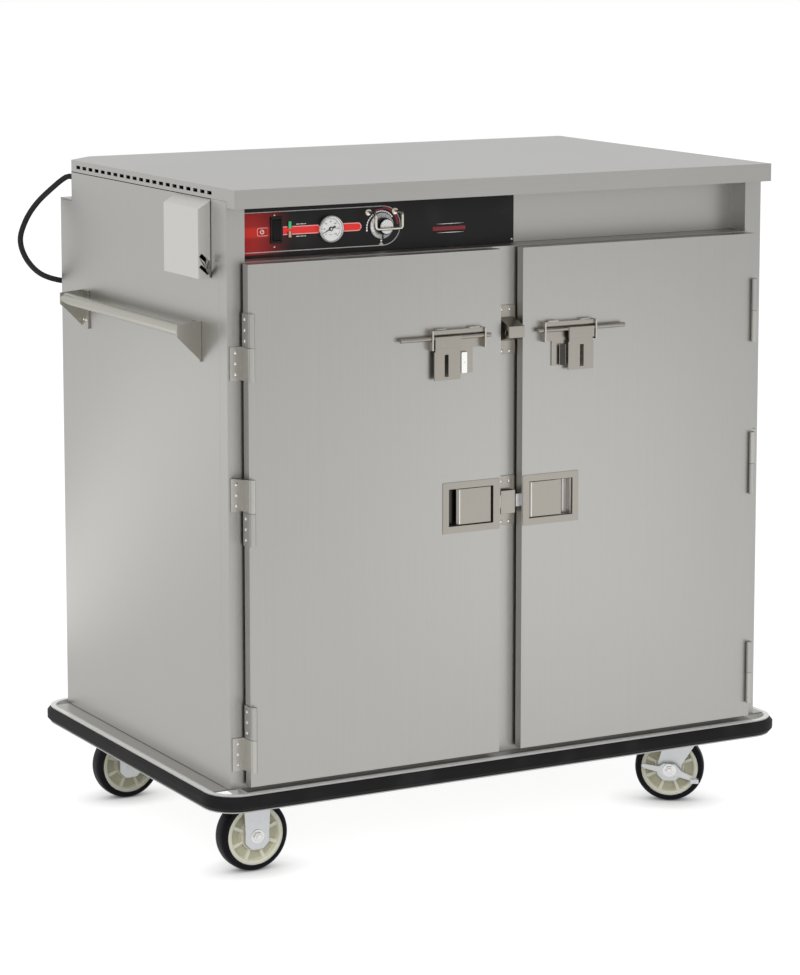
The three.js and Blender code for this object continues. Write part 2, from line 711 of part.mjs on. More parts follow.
function brakeLever() {
  const y0 = -LEG_Y - FORK_T - GAP - 11;
  const bar = slab(
    [[-56, 8], [-52, 12], [-20, 7], [-12, 13], [11, 12], [24, -2], [44, -11], [56, -16],
      [52, -23], [38, -19], [14, -12], [-11, -12], [-22, -4], [-50, 3]].reverse(),
    y0, y0 + 4,
  );
  const hub = rod("y", 11, y0, y0 + 5, 0, 0, 16);
  const pad = box(42, 58, y0 - 8, y0 + 3, -24, -16);
  return sum(bar, hub, pad).translate([-TRAIL, 0, WHEEL_R]);
}

// ---------- controls ----------
const panelX = (fromLeft) => -HX + fromLeft;

function controlPanel() {
  const x0 = -HX + UPPER_POST_W + GAP;
  const plate = box(x0, x0 + CONTROL_W, PANEL_FACE, PANEL_Y, LEDGE_Z + GAP, SKIRT_Z - 8);
  const sx = panelX(SWITCH_X);
  const bezel = box(sx - 11.5, sx + 11.5, PANEL_FACE - 4, PANEL_FACE + 1, PANEL_Z - 21, PANEL_Z + 27);
  const well = box(sx - 8.5, sx + 8.5, PANEL_FACE - 5, PANEL_FACE + 1.2, PANEL_Z - 17, PANEL_Z + 23);
  return plate.add(bezel).subtract(well);
}

function rocker() {
  const y = PANEL_FACE - 1;
  const z = PANEL_Z + 3;
  const outline = [[-18, -1.6], [-18, -5.4], [0, -3.2], [18, -2.4], [18, 1.5], [0, 1.7]];
  const shape = new THREE.Shape(outline.map(([a, b]) => new THREE.Vector2(a, b)));
  const g = new THREE.ExtrudeGeometry(shape, { depth: 15.6, bevelEnabled: false });
  // the outline's first axis runs up and its second runs to the back
  g.rotateY(-Math.PI / 2);
  return moved(solid(g), panelX(SWITCH_X) + 7.8, y, z);
}

function lamp(z, h) {
  const x = panelX(LAMP_X);
  const y1 = PANEL_FACE - GAP;
  return box(x - 4, x + 4, y1 - 3, y1, z - h / 2, z + h / 2);
}

// The dial thermometer: an open-fronted case with a spindle for the pointer.
function gaugeCase() {
  const r = GAUGE_R;
  const profile = [
    [0, 0], [r, 0], [r, 8], [r - 2, 10], [r - 3.5, 9], [r - 3.5, 4], [2, 4], [2, 7.5], [0, 7.5],
  ];
  return faceOut(turned(profile, 32), panelX(GAUGE_X), PANEL_FACE - GAP, PANEL_Z);
}

// Turns a piece that was turned about Z so that it faces the front, and places it.
function faceOut(part, x, y, z) {
  return part.rotate([90, 0, 0]).translate([x, y, z]);
}

function gaugePointer() {
  const hub = rod("z", 4, 5, 6.6, 0, 0, 12).subtract(rod("z", 2 + RUN, 4, 8, 0, 0, 12));
  const needle = prism([[3, -1], [18, -0.4], [18, 0.4], [3, 1]], 5.2, 6.2);
  const tail = prism([[-8, -1.5], [-3, -1.2], [-3, 1.2], [-8, 1.5]], 5.2, 6.2);
  const made = sum(hub, needle, tail).rotate([0, 0, 205]);
  return faceOut(made, panelX(GAUGE_X), PANEL_FACE - GAP, PANEL_Z);
}

function knob() {
  const profile = [
    [0, 0], [24, 0], [24, 3], [18, 5], [15.5, 6], [14.5, KNOB_OUT - 1.5], [12.5, KNOB_OUT],
    [0, KNOB_OUT],
  ];
  const pointer = box(-1.5, 1.5, -21, -13, 1, 7);
  return faceOut(turned(profile, 28).add(pointer), panelX(KNOB_X), PANEL_FACE - GAP, PANEL_Z);
}

// A wire bail over the knob: two legs come out of the panel above it, drop, and meet in a bar.
function knobGuard() {
  const r = GUARD_WIRE_R;
  const x = panelX(KNOB_X);
  const y1 = PANEL_FACE - GAP;
  const barY = y1 - GUARD_OUT;
  const footZ = PANEL_Z + GUARD_UP;
  const barZ = PANEL_Z - GUARD_DOWN;
  const half = GUARD_W / 2;
  const leg = (side) => {
    const legX = x + side * half;
    return sum(
      rod("y", GUARD_WASHER_R, y1 - 2, y1, legX, footZ, 12),
      rod("y", r, barY, y1 - 1, legX, footZ, 8),
      rod("z", r, barZ, footZ + r, legX, barY, 8),
    );
  };
  return sum(leg(-1), leg(1), rod("x", r, x - half - r, x + half + r, barY, barZ, 8));
}

// ---------- inside ----------
// The heater and blower box over the left compartment, and the blower wheel on its shaft.
const BLOWER_X = -HX / 2;

function heaterBox() {
  const z0 = LEDGE_Z + GAP;
  const z1 = z0 + 84;
  const shell = box(BLOWER_X - 150, BLOWER_X + 150, -140, 140, z0, z1)
    .subtract(box(BLOWER_X - 147, BLOWER_X + 147, -137, 137, z0 - 1, z1 - 3));
  const motor = rod("z", 38, z0 + 46, z1 - 1, BLOWER_X, 0, 20);
  const shaft = rod("z", 4, z0 + 6, z1 - 10, BLOWER_X, 0, 12);
  const collar = rod("z", 8, z0 + 6, z0 + 9, BLOWER_X, 0, 12);
  return sum(shell, motor, shaft, collar);
}

function blowerWheel() {
  const z = LEDGE_Z + GAP + 9 + GAP;
  const profile = [
    [4 + RUN, 0], [52, 0], [54, 2], [54, 28], [50, 28], [50, 4], [10, 4], [9, 24], [4 + RUN, 24],
  ];
  return moved(turned(profile, 24), BLOWER_X, 0, z);
}

// A welded rack of tray slides for the right-hand compartment.
function trayRack() {
  const x0 = PARTITION_T / 2 + 0.6;
  const x1 = INNER_X - 0.6;
  const y0 = WALL_FRONT + 26;
  const y1 = BACK - WALL - 12;
  const z0 = FLOOR_Z + GAP;
  const levels = 6;
  const pitch = 140;
  const ledge = 30;
  const parts = [];
  for (const [a, b, c, d] of [[x0, x0 + 3, x0, x0 + ledge], [x1 - 3, x1, x1 - ledge, x1]]) {
    for (const y of [y0 + 40, y1 - 60]) {
      parts.push(box(a, b, y, y + 25, z0, z0 + 76 + pitch * (levels - 1)));
    }
    for (let i = 0; i < levels; i++) {
      const z = z0 + 70 + pitch * i;
      parts.push(box(c, d, y0, y1, z, z + 3));
    }
  }
  for (const z of [z0, z0 + 70 + pitch * (levels - 1)]) {
    parts.push(box(x0, x1, y1 - 60, y1 - 35, z, z + 3));
  }
  return sum(...parts);
}

// ---------- cord ----------
// The sloping outlet plate faces out along this direction.
const OUTLET = new THREE.Vector3(-CORNER_CUT_Y, CORNER_CUT_X, 0).normalize();
const OUTLET_MID = new THREE.Vector3(-HX + CORNER_CUT_X / 2, BACK - CORNER_CUT_Y / 2, CORD_Z);
const GLAND_OUT = 16;
const GLAND_OFF = 0.5; // clear of the plate

function gland() {
  const profile = [[0, 0], [13, 0], [13, 5], [10.5, 6], [9, GLAND_OUT], [0, GLAND_OUT]];
  const g = turned(profile, 16).rotate([90, 0, 0]);
  const turn = THREE.MathUtils.radToDeg(Math.atan2(OUTLET.y, OUTLET.x)) + 90;
  const at = OUTLET_MID.clone().addScaledVector(OUTLET, GLAND_OFF);
  return g.rotate([0, 0, turn]).translate([at.x, at.y, at.z]);
}

// Chosen by hand, from the cabinet's left side, its front and the floor.
const LEAD_ROUTE = [
  [-14, 766, 1212], [-38, 782, 1183], [-57, 789, 1151], [-68, 790, 1114], [-58, 787, 1078],
  [-31, 782, 1047], [11, 775, 1031], [60, 769, 1028],
];
const LAYER_BACK = BACK + 10; // the coil's layer next to the wall
const LAYER_FRONT = LAYER_BACK + COIL_PITCH;
const COIL_OUT = COIL_R + (COIL_TURNS[0] / 2) * COIL_PITCH;
const COIL_BACK = COIL_TURNS[0] + COIL_TURNS[1] / 2; // the turn at which it winds out again

function cordLead() {
  const start = OUTLET_MID.clone().addScaledVector(OUTLET, GLAND_OFF + GLAND_OUT + GAP);
  const points = [
    start,
    start.clone().addScaledVector(OUTLET, CORD_D),
    ...LEAD_ROUTE.map(([x, y, z]) => new THREE.Vector3(x - HX, y + FRONT, z)),
  ];
  const topZ = COIL_Z + COIL_OUT;
  const endX = COIL_X - HX - CORD_D - GAP;
  points.push(new THREE.Vector3(endX - CORD_D * 1.5, LAYER_FRONT, topZ));
  points.push(new THREE.Vector3(endX, LAYER_FRONT, topZ));
  const path = new THREE.CatmullRomCurve3(points, false, "centripetal");
  const section = new THREE.Shape();
  const sides = 10;
  for (let i = 0; i < sides; i++) {
    const a = (2 * Math.PI * i) / sides;
    const [x, y] = [(CORD_D / 2) * Math.cos(a), (CORD_D / 2) * Math.sin(a)];
    if (i) section.lineTo(x, y);
    else section.moveTo(x, y);
  }
  console.log("cord lead", path.getLength().toFixed(0), "mm");
  return solid(
    new THREE.ExtrudeGeometry(section, { steps: 26, bevelEnabled: false, extrudePath: path }),
  );
}

function coilRadius(turn) {
  return COIL_OUT + (Math.abs(turn - COIL_BACK) - COIL_BACK) * COIL_PITCH;
}

// The put-away cord: one unbroken tube that winds in on its front layer and out on its back one.
function cordCoil() {
  const perTurn = 24;
  const [inward, climb, outward] = COIL_TURNS;
  const turns = inward + climb + outward;
  const count = Math.round(turns * perTurn);
  const stations = [];
  const push = (x, y, z, a) => stations.push({ x, y, z, a });
  const at = (t) => {
    const a = Math.PI / 2 - 2 * Math.PI * t;
    const r = coilRadius(t);
    const part = THREE.MathUtils.clamp((t - inward) / climb, 0, 1);
    const y = LAYER_FRONT + (LAYER_BACK - LAYER_FRONT) * part;
    return { x: COIL_X - HX + r * Math.cos(a), y, z: COIL_Z + r * Math.sin(a), a };
  };
  const first = at(0);
  push(first.x - CORD_D, first.y, first.z, Math.PI / 2);
  for (let i = 0; i <= count; i++) {
    const s = at(i / perTurn);
    push(s.x, s.y, s.z, s.a);
  }
  const last = stations[stations.length - 1];
  push(last.x, last.y, last.z - CORD_D, 0);
  const sides = 6;
  const loops = stations.map(({ x, y, z, a }) => {
    const loop = [];
    for (let k = 0; k < sides; k++) {
      const b = (2 * Math.PI * k) / sides;
      const out = (CORD_D / 2) * Math.cos(b);
      loop.push([x + out * Math.cos(a), y + (CORD_D / 2) * Math.sin(b), z + out * Math.sin(a)]);
    }
    return loop;
  });
  reportGap(stations);
  return solid(skin(loops, false));
}

function reportGap(stations) {
  let least = Infinity;
  let length = 0;
  const far = (p, q) => Math.hypot(p.x - q.x, p.y - q.y, p.z - q.z);
  for (let i = 0; i < stations.length; i++) {
    if (i) length += far(stations[i], stations[i - 1]);
    for (let j = i + 8; j < stations.length; j++) {
      least = Math.min(least, far(stations[i], stations[j]));
    }
  }
  console.log("coil", length.toFixed(0), "mm, least gap", (least - CORD_D).toFixed(2), "mm");
}

function plug() {
  const profile = [[0, 0], [6, 0], [8.5, -26], [9, -28], [0, -28]];
  const neck = turned(profile.reverse(), 16);
  const body = box(-15, 15, -9, 14, -62, -27);
  const blade = (x) => box(x - 0.8, x + 0.8, -6, 0.4, -80, -61);
  const ground = rod("z", 2.4, -82, -61, 0, 9, 10);
  const made = sum(neck, body, blade(-6.4), blade(6.4), ground);
  const endR = coilRadius(COIL_TURNS.reduce((a, b) => a + b));
  return moved(made, COIL_X - HX + endR, LAYER_BACK, COIL_Z - CORD_D - GAP);
}

// The hook that the coil hangs on.
function cordHook() {
  const r = 4;
  const x = COIL_X - HX;
  const inner = coilRadius(Math.floor(COIL_BACK)) - CORD_D / 2;
  const z = COIL_Z + inner - r - GAP;
  const tipY = LAYER_FRONT + CORD_D / 2 + r + 2;
  const y0 = BACK + GAP;
  return sum(
    box(x - 14, x + 14, y0, y0 + 1.5, z - 38, z + 10),
    rod("y", r, y0, tipY + r, x, z, 12),
    rod("z", r, z - r, z + 22, x, tipY, 12),
  );
}

// ---------- assembly ----------
add("base_frame", baseFrame(), "stainless");
add("bumper_strip", bumperStrip(), "black_rubber");
add("cabinet_liner", cabinetLiner(), "stainless");
add("back_wall", backWall(), "stainless");
add("door_frame", doorFrame(), "stainless");
add("roof", roof(), "stainless");
add("louvre_box", louvreBox(), "stainless");
add("control_panel", controlPanel(), "black_panel");
add("rocker_switch", rocker(), "black_plastic");
add("pilot_lamp_green", lamp(PANEL_Z + 11, 13), "green_lens");
add("pilot_lamp_amber", lamp(PANEL_Z - 6, 11), "amber_lens");
add("thermometer_case", gaugeCase(), "chrome");
add("thermometer_pointer", gaugePointer(), "dark_pointer");
add("thermostat_knob", knob(), "chrome");
add("knob_guard", knobGuard(), "polished");
add("heater_box", heaterBox(), "stainless");
add("blower_wheel", blowerWheel(), "zinc");
add("bolt_keeper", boltKeeper(), "polished");
add("latch_strike", latchStrike(), "polished");
add("cord_gland", gland(), "black_plastic");
add("cord_hook", cordHook(), "polished");
add("cord_lead", cordLead(), "black_rubber");
add("cord_coil", cordCoil(), "black_rubber");
add("plug", plug(), "black_plastic");

const HINGE_NAMES = ["bottom", "middle", "top"];
for (const { name, side } of SIDES) {
  add(`side_wall_${name}`, sideWall(side), "stainless");
  add(`push_handle_${name}`, onSide(side, pushHandle()), "polished");
  add(`tray_rack_${name}`, onSide(side, trayRack()), "stainless");
  add(`${name}_door`, onSide(side, door()), "stainless");
  add(`${name}_door_seal`, onSide(side, doorSeal()), "black_rubber");
  add(`${name}_latch_paddle`, onSide(side, paddle()), "polished");
  add(`${name}_latch_tongue`, onSide(side, tongue()), "zinc");
  add(`${name}_bolt_guide`, onSide(side, boltGuide()), "polished");
  add(`${name}_bolt_rod`, onSide(side, boltRod()), "polished");
  for (const [i, z] of HINGE_Z.entries()) {
    const leaf = frameLeaf(z, i === 1 ? 1 : -1);
    add(`${name}_hinge_leaf_${HINGE_NAMES[i]}`, onSide(side, leaf), "polished");
  }
}

const wheelX = HX - CASTER_X;
for (const [i, end] of ["front", "rear"].entries()) {
  const y = end === "front" ? FRONT + CASTER_Y : BACK - CASTER_Y;
  add(`rigid_caster_${end}`, moved(rigidCaster(), -wheelX, y, 0), "zinc");
  add(`rigid_wheel_${end}`, moved(wheel(), -wheelX, y, 0), "black_rubber");
  const turn = (part) => moved(part.rotate([0, 0, -SWIVEL_TURN[i]]), wheelX, y, 0);
  add(`swivel_plate_${end}`, moved(swivelPlate(), wheelX, y, 0), "zinc");
  add(`swivel_fork_${end}`, turn(swivelFork()), "zinc");
  add(`swivel_wheel_${end}`, turn(moved(wheel(), -TRAIL, 0, 0)), "black_rubber");
  add(`brake_lever_${end}`, turn(brakeLever()), "zinc");
}

export default cart;
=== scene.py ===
"""Finishes and fine detail for a heated meal tray cart, laid out as a Blender add-on."""

import math
from fnmatch import fnmatch

import bmesh
import bpy
from bpy.props import FloatProperty, FloatVectorProperty, IntProperty, PointerProperty
from mathutils import Matrix, Vector


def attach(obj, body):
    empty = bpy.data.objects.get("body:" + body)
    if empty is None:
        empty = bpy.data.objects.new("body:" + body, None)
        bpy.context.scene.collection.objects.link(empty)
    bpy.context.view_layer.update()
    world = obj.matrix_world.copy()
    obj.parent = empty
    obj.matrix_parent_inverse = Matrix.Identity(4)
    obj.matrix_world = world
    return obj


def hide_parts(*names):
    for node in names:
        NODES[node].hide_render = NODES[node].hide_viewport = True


bl_info = {
    "name": "Meal Tray Cart",
    "version": (1, 0, 0),
    "blender": (4, 5, 0),
    "location": "View3D > Sidebar > Meal Cart",
    "description": "Finishes, fittings, cord and stage for a heated meal tray cart",
    "category": "Object",
}

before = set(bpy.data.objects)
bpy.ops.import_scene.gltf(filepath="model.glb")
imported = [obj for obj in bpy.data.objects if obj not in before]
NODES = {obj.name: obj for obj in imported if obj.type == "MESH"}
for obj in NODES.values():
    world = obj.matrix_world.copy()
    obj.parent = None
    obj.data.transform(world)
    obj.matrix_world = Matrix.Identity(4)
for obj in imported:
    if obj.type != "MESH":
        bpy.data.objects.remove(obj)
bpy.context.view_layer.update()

# Places on the cart are in millimetres: x and y from its middle, z up from the floor.
MM = 0.001
HALF_W = 573.0
FRONT_Y = -373.0
BACK_Y = 373.0
SIDES = (("left", -1), ("right", 1))
FRONT = (0, -1, 0)

PANEL_FACE = -327.3
PANEL_Z = 1190.5
SWITCH_X, SWITCH_Z = -452.0, 1193.5
LAMP_X = -425.0
GAUGE_X = -343.0
KNOB_X = -236.0
DOOR_FACE = -399.0


# ---- settings


class CartFinish(bpy.types.PropertyGroup):
    """Colours and gloss of the cart's materials."""

    stainless: FloatVectorProperty(
        name="Stainless", description="Brushed sheet of the cabinet and doors",
        subtype="COLOR", size=3, min=0, max=1, default=(0.52, 0.515, 0.495),
    )
    stainless_roughness: FloatProperty(
        name="Sheet Roughness", description="How dull the brushed sheet is",
        min=0.05, max=0.9, default=0.36, subtype="FACTOR",
    )
    fitting: FloatVectorProperty(
        name="Fittings", description="Plain stainless latches, hinges and bolts",
        subtype="COLOR", size=3, min=0, max=1, default=(0.42, 0.395, 0.35),
    )
    bumper: FloatVectorProperty(
        name="Bumper", description="Rubber of the wrap-round bumper",
        subtype="COLOR", size=3, min=0, max=1, default=(0.012, 0.012, 0.013),
    )
    hub: FloatVectorProperty(
        name="Wheel Hub", description="Moulded cream wheel hubs",
        subtype="COLOR", size=3, min=0, max=1, default=(0.76, 0.75, 0.62),
    )
    panel_red: FloatVectorProperty(
        name="Panel Red", description="Printed red of the control panel",
        subtype="COLOR", size=3, min=0, max=1, default=(0.40, 0.022, 0.02),
    )
    panel_black: FloatVectorProperty(
        name="Panel Black", description="Printed black of the control panel",
        subtype="COLOR", size=3, min=0, max=1, default=(0.014, 0.013, 0.013),
    )


class CartDetail(bpy.types.PropertyGroup):
    """Sizes of the small parts."""

    edge_radius: FloatProperty(
        name="Sheet Edge", description="Radius on folded sheet edges",
        min=0, max=0.004, default=0.0011, unit="LENGTH", precision=4,
    )
    fitting_edge: FloatProperty(
        name="Fitting Edge", description="Radius on the edges of latches and hinges",
        min=0, max=0.002, default=0.0006, unit="LENGTH", precision=4,
    )
    screw_radius: FloatProperty(
        name="Screw Head", description="Radius of the pan-head screws",
        min=0.001, max=0.01, default=0.0036, unit="LENGTH", precision=4,
    )
    hub_ribs: IntProperty(
        name="Hub Ribs", description="Ribs moulded into each wheel hub", min=4, max=36, default=8,
    )


# ---- outlines and places


def polar(radius, angle, centre=(0, 0)):
    """The point at a radius and an angle in degrees round a centre."""
    a = math.radians(angle)
    return centre[0] + radius * math.cos(a), centre[1] + radius * math.sin(a)


def arc(radius, start, end, steps=24, centre=(0, 0)):
    return [polar(radius, start + (end - start) * i / steps, centre) for i in range(steps + 1)]


def rounded_rect(x0, x1, y0, y1, radius, steps=5):
    """An outline with round corners, anticlockwise."""
    left, right, low, high = x0 + radius, x1 - radius, y0 + radius, y1 - radius
    corners = ((right, low, -90), (right, high, 0), (left, high, 90), (left, low, 180))
    outline = []
    for x, y, start in corners:
        outline += arc(radius, start, start + 90, steps, (x, y))
    return outline


def side_rect(side, box, inset, radius, steps):
    """A rounded rectangle on a door. The box is the right door's, mirrored for the left one."""
    x0, x1, z0, z1 = box
    across = sorted((side * (x0 + inset), side * (x1 - inset)))
    return rounded_rect(*across, z0 + inset, z1 - inset, radius, steps)


def mirrored(half):
    """A closed profile from the half above the middle, as (radius, height) pairs."""
    return half + [(radius, -height) for radius, height in reversed(half)]


def bent(corners, radius, steps=6):
    """A path through corners, each rounded off as a bent wire's is."""
    path = [corners[0]]
    for before, corner, after in zip(corners, corners[1:], corners[2:]):
        start = corner + (before - corner).normalized() * radius
        end = corner + (after - corner).normalized() * radius
        for i in range(steps + 1):
            t = i / steps
            path.append(start.lerp(corner, t).lerp(corner.lerp(end, t), t))
    return [*path, corners[-1]]


def facing(direction, at, scale=MM):
    """A matrix whose Z points along direction, standing at a point given in millimetres."""
    turn = Vector(direction).normalized().to_track_quat("Z", "Y").to_matrix().to_4x4()
    return Matrix.Translation(Vector(at) * MM) @ turn @ Matrix.Scale(scale, 4)


def front_matrix(x, y, z):
    """Local x to the right, local y up and local z out towards the viewer of the front."""
    turn = Matrix(((1, 0, 0, 0), (0, 0, -1, 0), (0, 1, 0, 0), (0, 0, 0, 1)))
    return Matrix.Translation(Vector((x, y, z)) * MM) @ turn @ Matrix.Scale(MM, 4)


def shifted(matrix, x=0, y=0, z=0):
    return matrix @ Matrix.Translation((x, y, z))


# ---- mesh helpers


def add_ring(bm, matrix, outline, height):
    return [bm.verts.new(matrix @ Vector((x, y, height))) for x, y in outline]


def join_rings(bm, rings, material=0):
    """Faces between each ring of points and the next, where a ring of one point is a tip."""
    for low, high in zip(rings, rings[1:]):
        count = max(len(low), len(high))
        for i in range(count):
            j = (i + 1) % count
            below = (low[i % len(low)], low[j % len(low)])
            above = (high[j % len(high)], high[i % len(high)])
            corners = list(dict.fromkeys(below + above))
            if len(corners) > 2:
                bm.faces.new(corners).material_index = material


def add_lathe(bm, profile, matrix, steps=32, material=0, closed=False):
    """Turns a profile of (radius, height) pairs about Z, then places it."""
    rings = []
    for radius, height in profile:
        turns = range(steps) if radius > 0 else (0,)
        rings.append(add_ring(bm, matrix, [polar(radius, 360 * i / steps) for i in turns], height))
    if closed:
        rings.append(rings[0])
    join_rings(bm, rings, material)


def add_prism(bm, outline, depth, matrix, material=0):
    """A flat outline of (x, y) pairs, given a depth along Z, then placed."""
    low = add_ring(bm, matrix, outline, 0)
    high = add_ring(bm, matrix, outline, depth)
    for cap in (low[::-1], high):
        bm.faces.new(cap).material_index = material
    join_rings(bm, [low, high], material)


def add_frame(bm, outer, inner, depth, matrix):
    """A flat frame between two outlines with the same number of points."""
    corners = ((outer, 0), (outer, depth), (inner, depth), (inner, 0))
    rings = [add_ring(bm, matrix, outline, height) for outline, height in corners]
    join_rings(bm, [*rings, rings[0]])


def add_ribbon(bm, path, width, depth, matrix):
    """A flat line of one width along a path of (x, y) points."""
    edges = []
    for i, (x, y) in enumerate(path):
        before = Vector(path[max(0, i - 1)])
        after = Vector(path[min(len(path) - 1, i + 1)])
        along = (after - before).normalized()
        across = Vector((-along.y, along.x)) * width / 2
        edges.append(((x + across.x, y + across.y), (x - across.x, y - across.y)))
    for (left, right), (next_left, next_right) in zip(edges, edges[1:]):
        add_prism(bm, [left, right, next_right, next_left], depth, matrix)


def add_screw(bm, at, radius, turn):
    """A pan-head screw with a cross recess, its head standing on the panel at the point."""
    matrix = facing(FRONT, at, radius) @ Matrix.Rotation(turn, 4, "Z")
    rim = [(0, -0.35), (0.98, -0.35), (1, 0), (0.96, 0.22), (0.78, 0.42), (0.42, 0.52)]
    add_lathe(bm, [*rim, (0.3, 0.53)], matrix, 16)
    add_lathe(bm, [(0.3, 0.53), (0.22, 0.22), (0, 0.2)], matrix, 16)


def add_rivet(bm, at, direction, radius):
    """A low domed rivet head."""
    dome = [(0.98, -0.2), (1.0, 0.06), (0.9, 0.28), (0.66, 0.46), (0.34, 0.55), (0, 0.58)]
    add_lathe(bm, dome, facing(direction, at, radius * MM), 18)


def shade(mesh, angle=35):
    """Smooth shading, broken at edges sharper than the angle."""
    for polygon in mesh.polygons:
        polygon.use_smooth = True
    mesh.set_sharp_from_angle(angle=math.radians(angle))


def add_bevel(piece, width, weld=False):
    """Rounds the piece's sharp edges, so that they catch the light, and keeps flat faces flat."""
    if weld:
        merge = piece.modifiers.new("Join Corners", "WELD")
        merge.merge_threshold = 0.00002
        flat = piece.modifiers.new("Join Flat Faces", "DECIMATE")
        flat.decimate_type = "DISSOLVE"
        flat.angle_limit = math.radians(0.3)
    bevel = piece.modifiers.new("Round Edges", "BEVEL")
    bevel.width = width
    bevel.segments = 2
    bevel.limit_method = "ANGLE"
    bevel.angle_limit = math.radians(32)
    even = piece.modifiers.new("Flat Shading", "WEIGHTED_NORMAL")
    even.mode = "FACE_AREA"
    even.weight = 50
    even.keep_sharp = False


def settle(piece, body, replaces=None):
    """Puts a piece on its CAD body, and hides the node that it stands for."""
    bpy.context.scene.collection.objects.link(piece)
    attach(piece, body)
    if replaces:
        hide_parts(replaces)
    return piece


def finish_mesh(bm, name, body, finishes, replaces=None, smooth=35, bevel=0.0):
    """Turns a bmesh into a named piece. Its finishes are keys of FINISHES with spaces between."""
    bmesh.ops.recalc_face_normals(bm, faces=bm.faces)
    mesh = bpy.data.meshes.new(name)
    bm.to_mesh(mesh)
    bm.free()
    for key in finishes.split():
        mesh.materials.append(FINISHES[key])
    shade(mesh, smooth)
    piece = bpy.data.objects.new(name, mesh)
    if bevel:
        add_bevel(piece, bevel)
    return settle(piece, body, replaces)


def tube_curve(name, points, radius, finish, slot, replaces):
    """A smooth cable through points in metres, fixed to the cart."""
    curve = bpy.data.curves.new(name, "CURVE")
    curve.dimensions = "3D"
    curve.bevel_depth = radius * MM
    curve.bevel_resolution = 5
    curve.use_fill_caps = True
    spline = curve.splines.new("POLY")
    spline.points.add(len(points) - 1)
    for point, at in zip(spline.points, points):
        point.co = (*at, 1)
    curve.materials.append(FINISHES[finish])
    return settle(bpy.data.objects.new(name, curve), "cart", replaces)


# ---- shader helpers

GROUPS = {}
FINISHES = {}


class Shader:
    """Builds nodes in one tree with short calls."""

    def __init__(self, tree):
        self.tree = tree

    def add(self, kind, **settings):
        node = self.tree.nodes.new(f"ShaderNode{kind}")
        for key, value in settings.items():
            setattr(node, key, value)
        return node

    def put(self, sockets, values):
        """Gives each socket in turn its value, or a link from another node's output."""
        for socket, value in zip(sockets, values):
            if isinstance(value, bpy.types.NodeSocket):
                self.tree.links.new(value, socket)
            elif socket.type == "RGBA":
                socket.default_value = (*value, 1)
            else:
                socket.default_value = value

    def feed(self, node, **values):
        """Fills inputs by name, with an underscore for each space."""
        self.put([node.inputs[key.replace("_", " ")] for key in values], values.values())
        return node.outputs

    def group(self, key, **values):
        return self.feed(self.add("Group", node_tree=GROUPS[key]), **values)

    def math(self, operation, *values, clamp=False):
        node = self.add("Math", operation=operation, use_clamp=clamp)
        self.put(node.inputs, values)
        return node.outputs[0]

    def vector_math(self, operation, *values):
        node = self.add("VectorMath", operation=operation)
        self.put(node.inputs, values)
        return node

    def away(self, value, middle):
        """How far a value is from a middle, on either side of it."""
        return self.math("ABSOLUTE", self.math("SUBTRACT", value, middle))

    def span(self, value, low, high, to_low=0.0, to_high=1.0):
        """A smooth step from to_low, where the value is low, to to_high, where it is high."""
        node = self.add("MapRange", interpolation_type="SMOOTHSTEP")
        self.put(node.inputs, (value, low, high, to_low, to_high))
        return node.outputs[0]

    def mix(self, factor, first, second):
        """Two colours mixed. A colour Mix node has these at inputs 0, 6 and 7, and output 2."""
        node = self.add("Mix", data_type="RGBA")
        self.put([node.inputs[i] for i in (0, 6, 7)], (factor, first, second))
        return node.outputs[2]

    def place(self, kind="Object"):
        return self.add("TexCoord").outputs[kind]

    def axes(self, vector):
        node = self.add("SeparateXYZ")
        self.put(node.inputs, (vector,))
        return node.outputs

    def noise(self, vector, scale, detail):
        return self.feed(self.add("TexNoise"), Vector=vector, Scale=scale, Detail=detail)[0]

    def bump(self, height, strength):
        return self.feed(self.add("Bump"), Height=height, Strength=strength, Distance=0.0002)[0]


def new_group(name, inputs, outputs):
    """A node group with named inputs, each with its default, and named outputs."""
    group = bpy.data.node_groups.new(name, "ShaderNodeTree")
    for label, default in inputs.items():
        kind = "NodeSocketVector" if isinstance(default, tuple) else "NodeSocketFloat"
        socket = group.interface.new_socket(name=label, in_out="INPUT", socket_type=kind)
        socket.default_value = default
    for label in outputs:
        group.interface.new_socket(name=label, in_out="OUTPUT", socket_type="NodeSocketFloat")
    given, out = (group.nodes.new(kind) for kind in ("NodeGroupInput", "NodeGroupOutput"))
    return group, Shader(group), given.outputs, out


def grain_group():
    """Brushed grain: fine streaks along one way, with soft cloudy patches under them."""
    group, s, given, out = new_group(
        "Brushed Grain",
        {"Stretch": (500, 500, 5), "Tone Depth": 0.06, "Dull": 0.36, "Dull Depth": 0.06},
        ("Tone", "Roughness", "Height"),
    )
    at = s.place()
    streaks = s.noise(s.vector_math("MULTIPLY", at, given["Stretch"]).outputs[0], 1.0, 3)
    clouds = s.noise(at, 3.2, 2)
    both = s.math("ADD", s.math("SUBTRACT", streaks, 0.5), s.math("SUBTRACT", clouds, 0.5))
    tone = s.math("ADD", s.math("MULTIPLY", both, given["Tone Depth"]), 1.0)
    dull = s.math("MULTIPLY", both, given["Dull Depth"])
    s.feed(out, Tone=tone, Roughness=s.math("ADD", dull, given["Dull"], clamp=True), Height=streaks)
    return group


def speckle_group():
    """Fine moulded texture with a little dust in it."""
    group, s, given, out = new_group(
        "Moulded Speckle", {"Scale": 700.0, "Dust": 0.1}, ("Mask", "Height"),
    )
    at = s.place()
    patches = s.span(s.noise(at, 14, 5), 0.45, 0.75)
    mask = s.math("MULTIPLY", patches, given["Dust"])
    s.feed(out, Mask=mask, Height=s.noise(at, given["Scale"], 4))
    return group


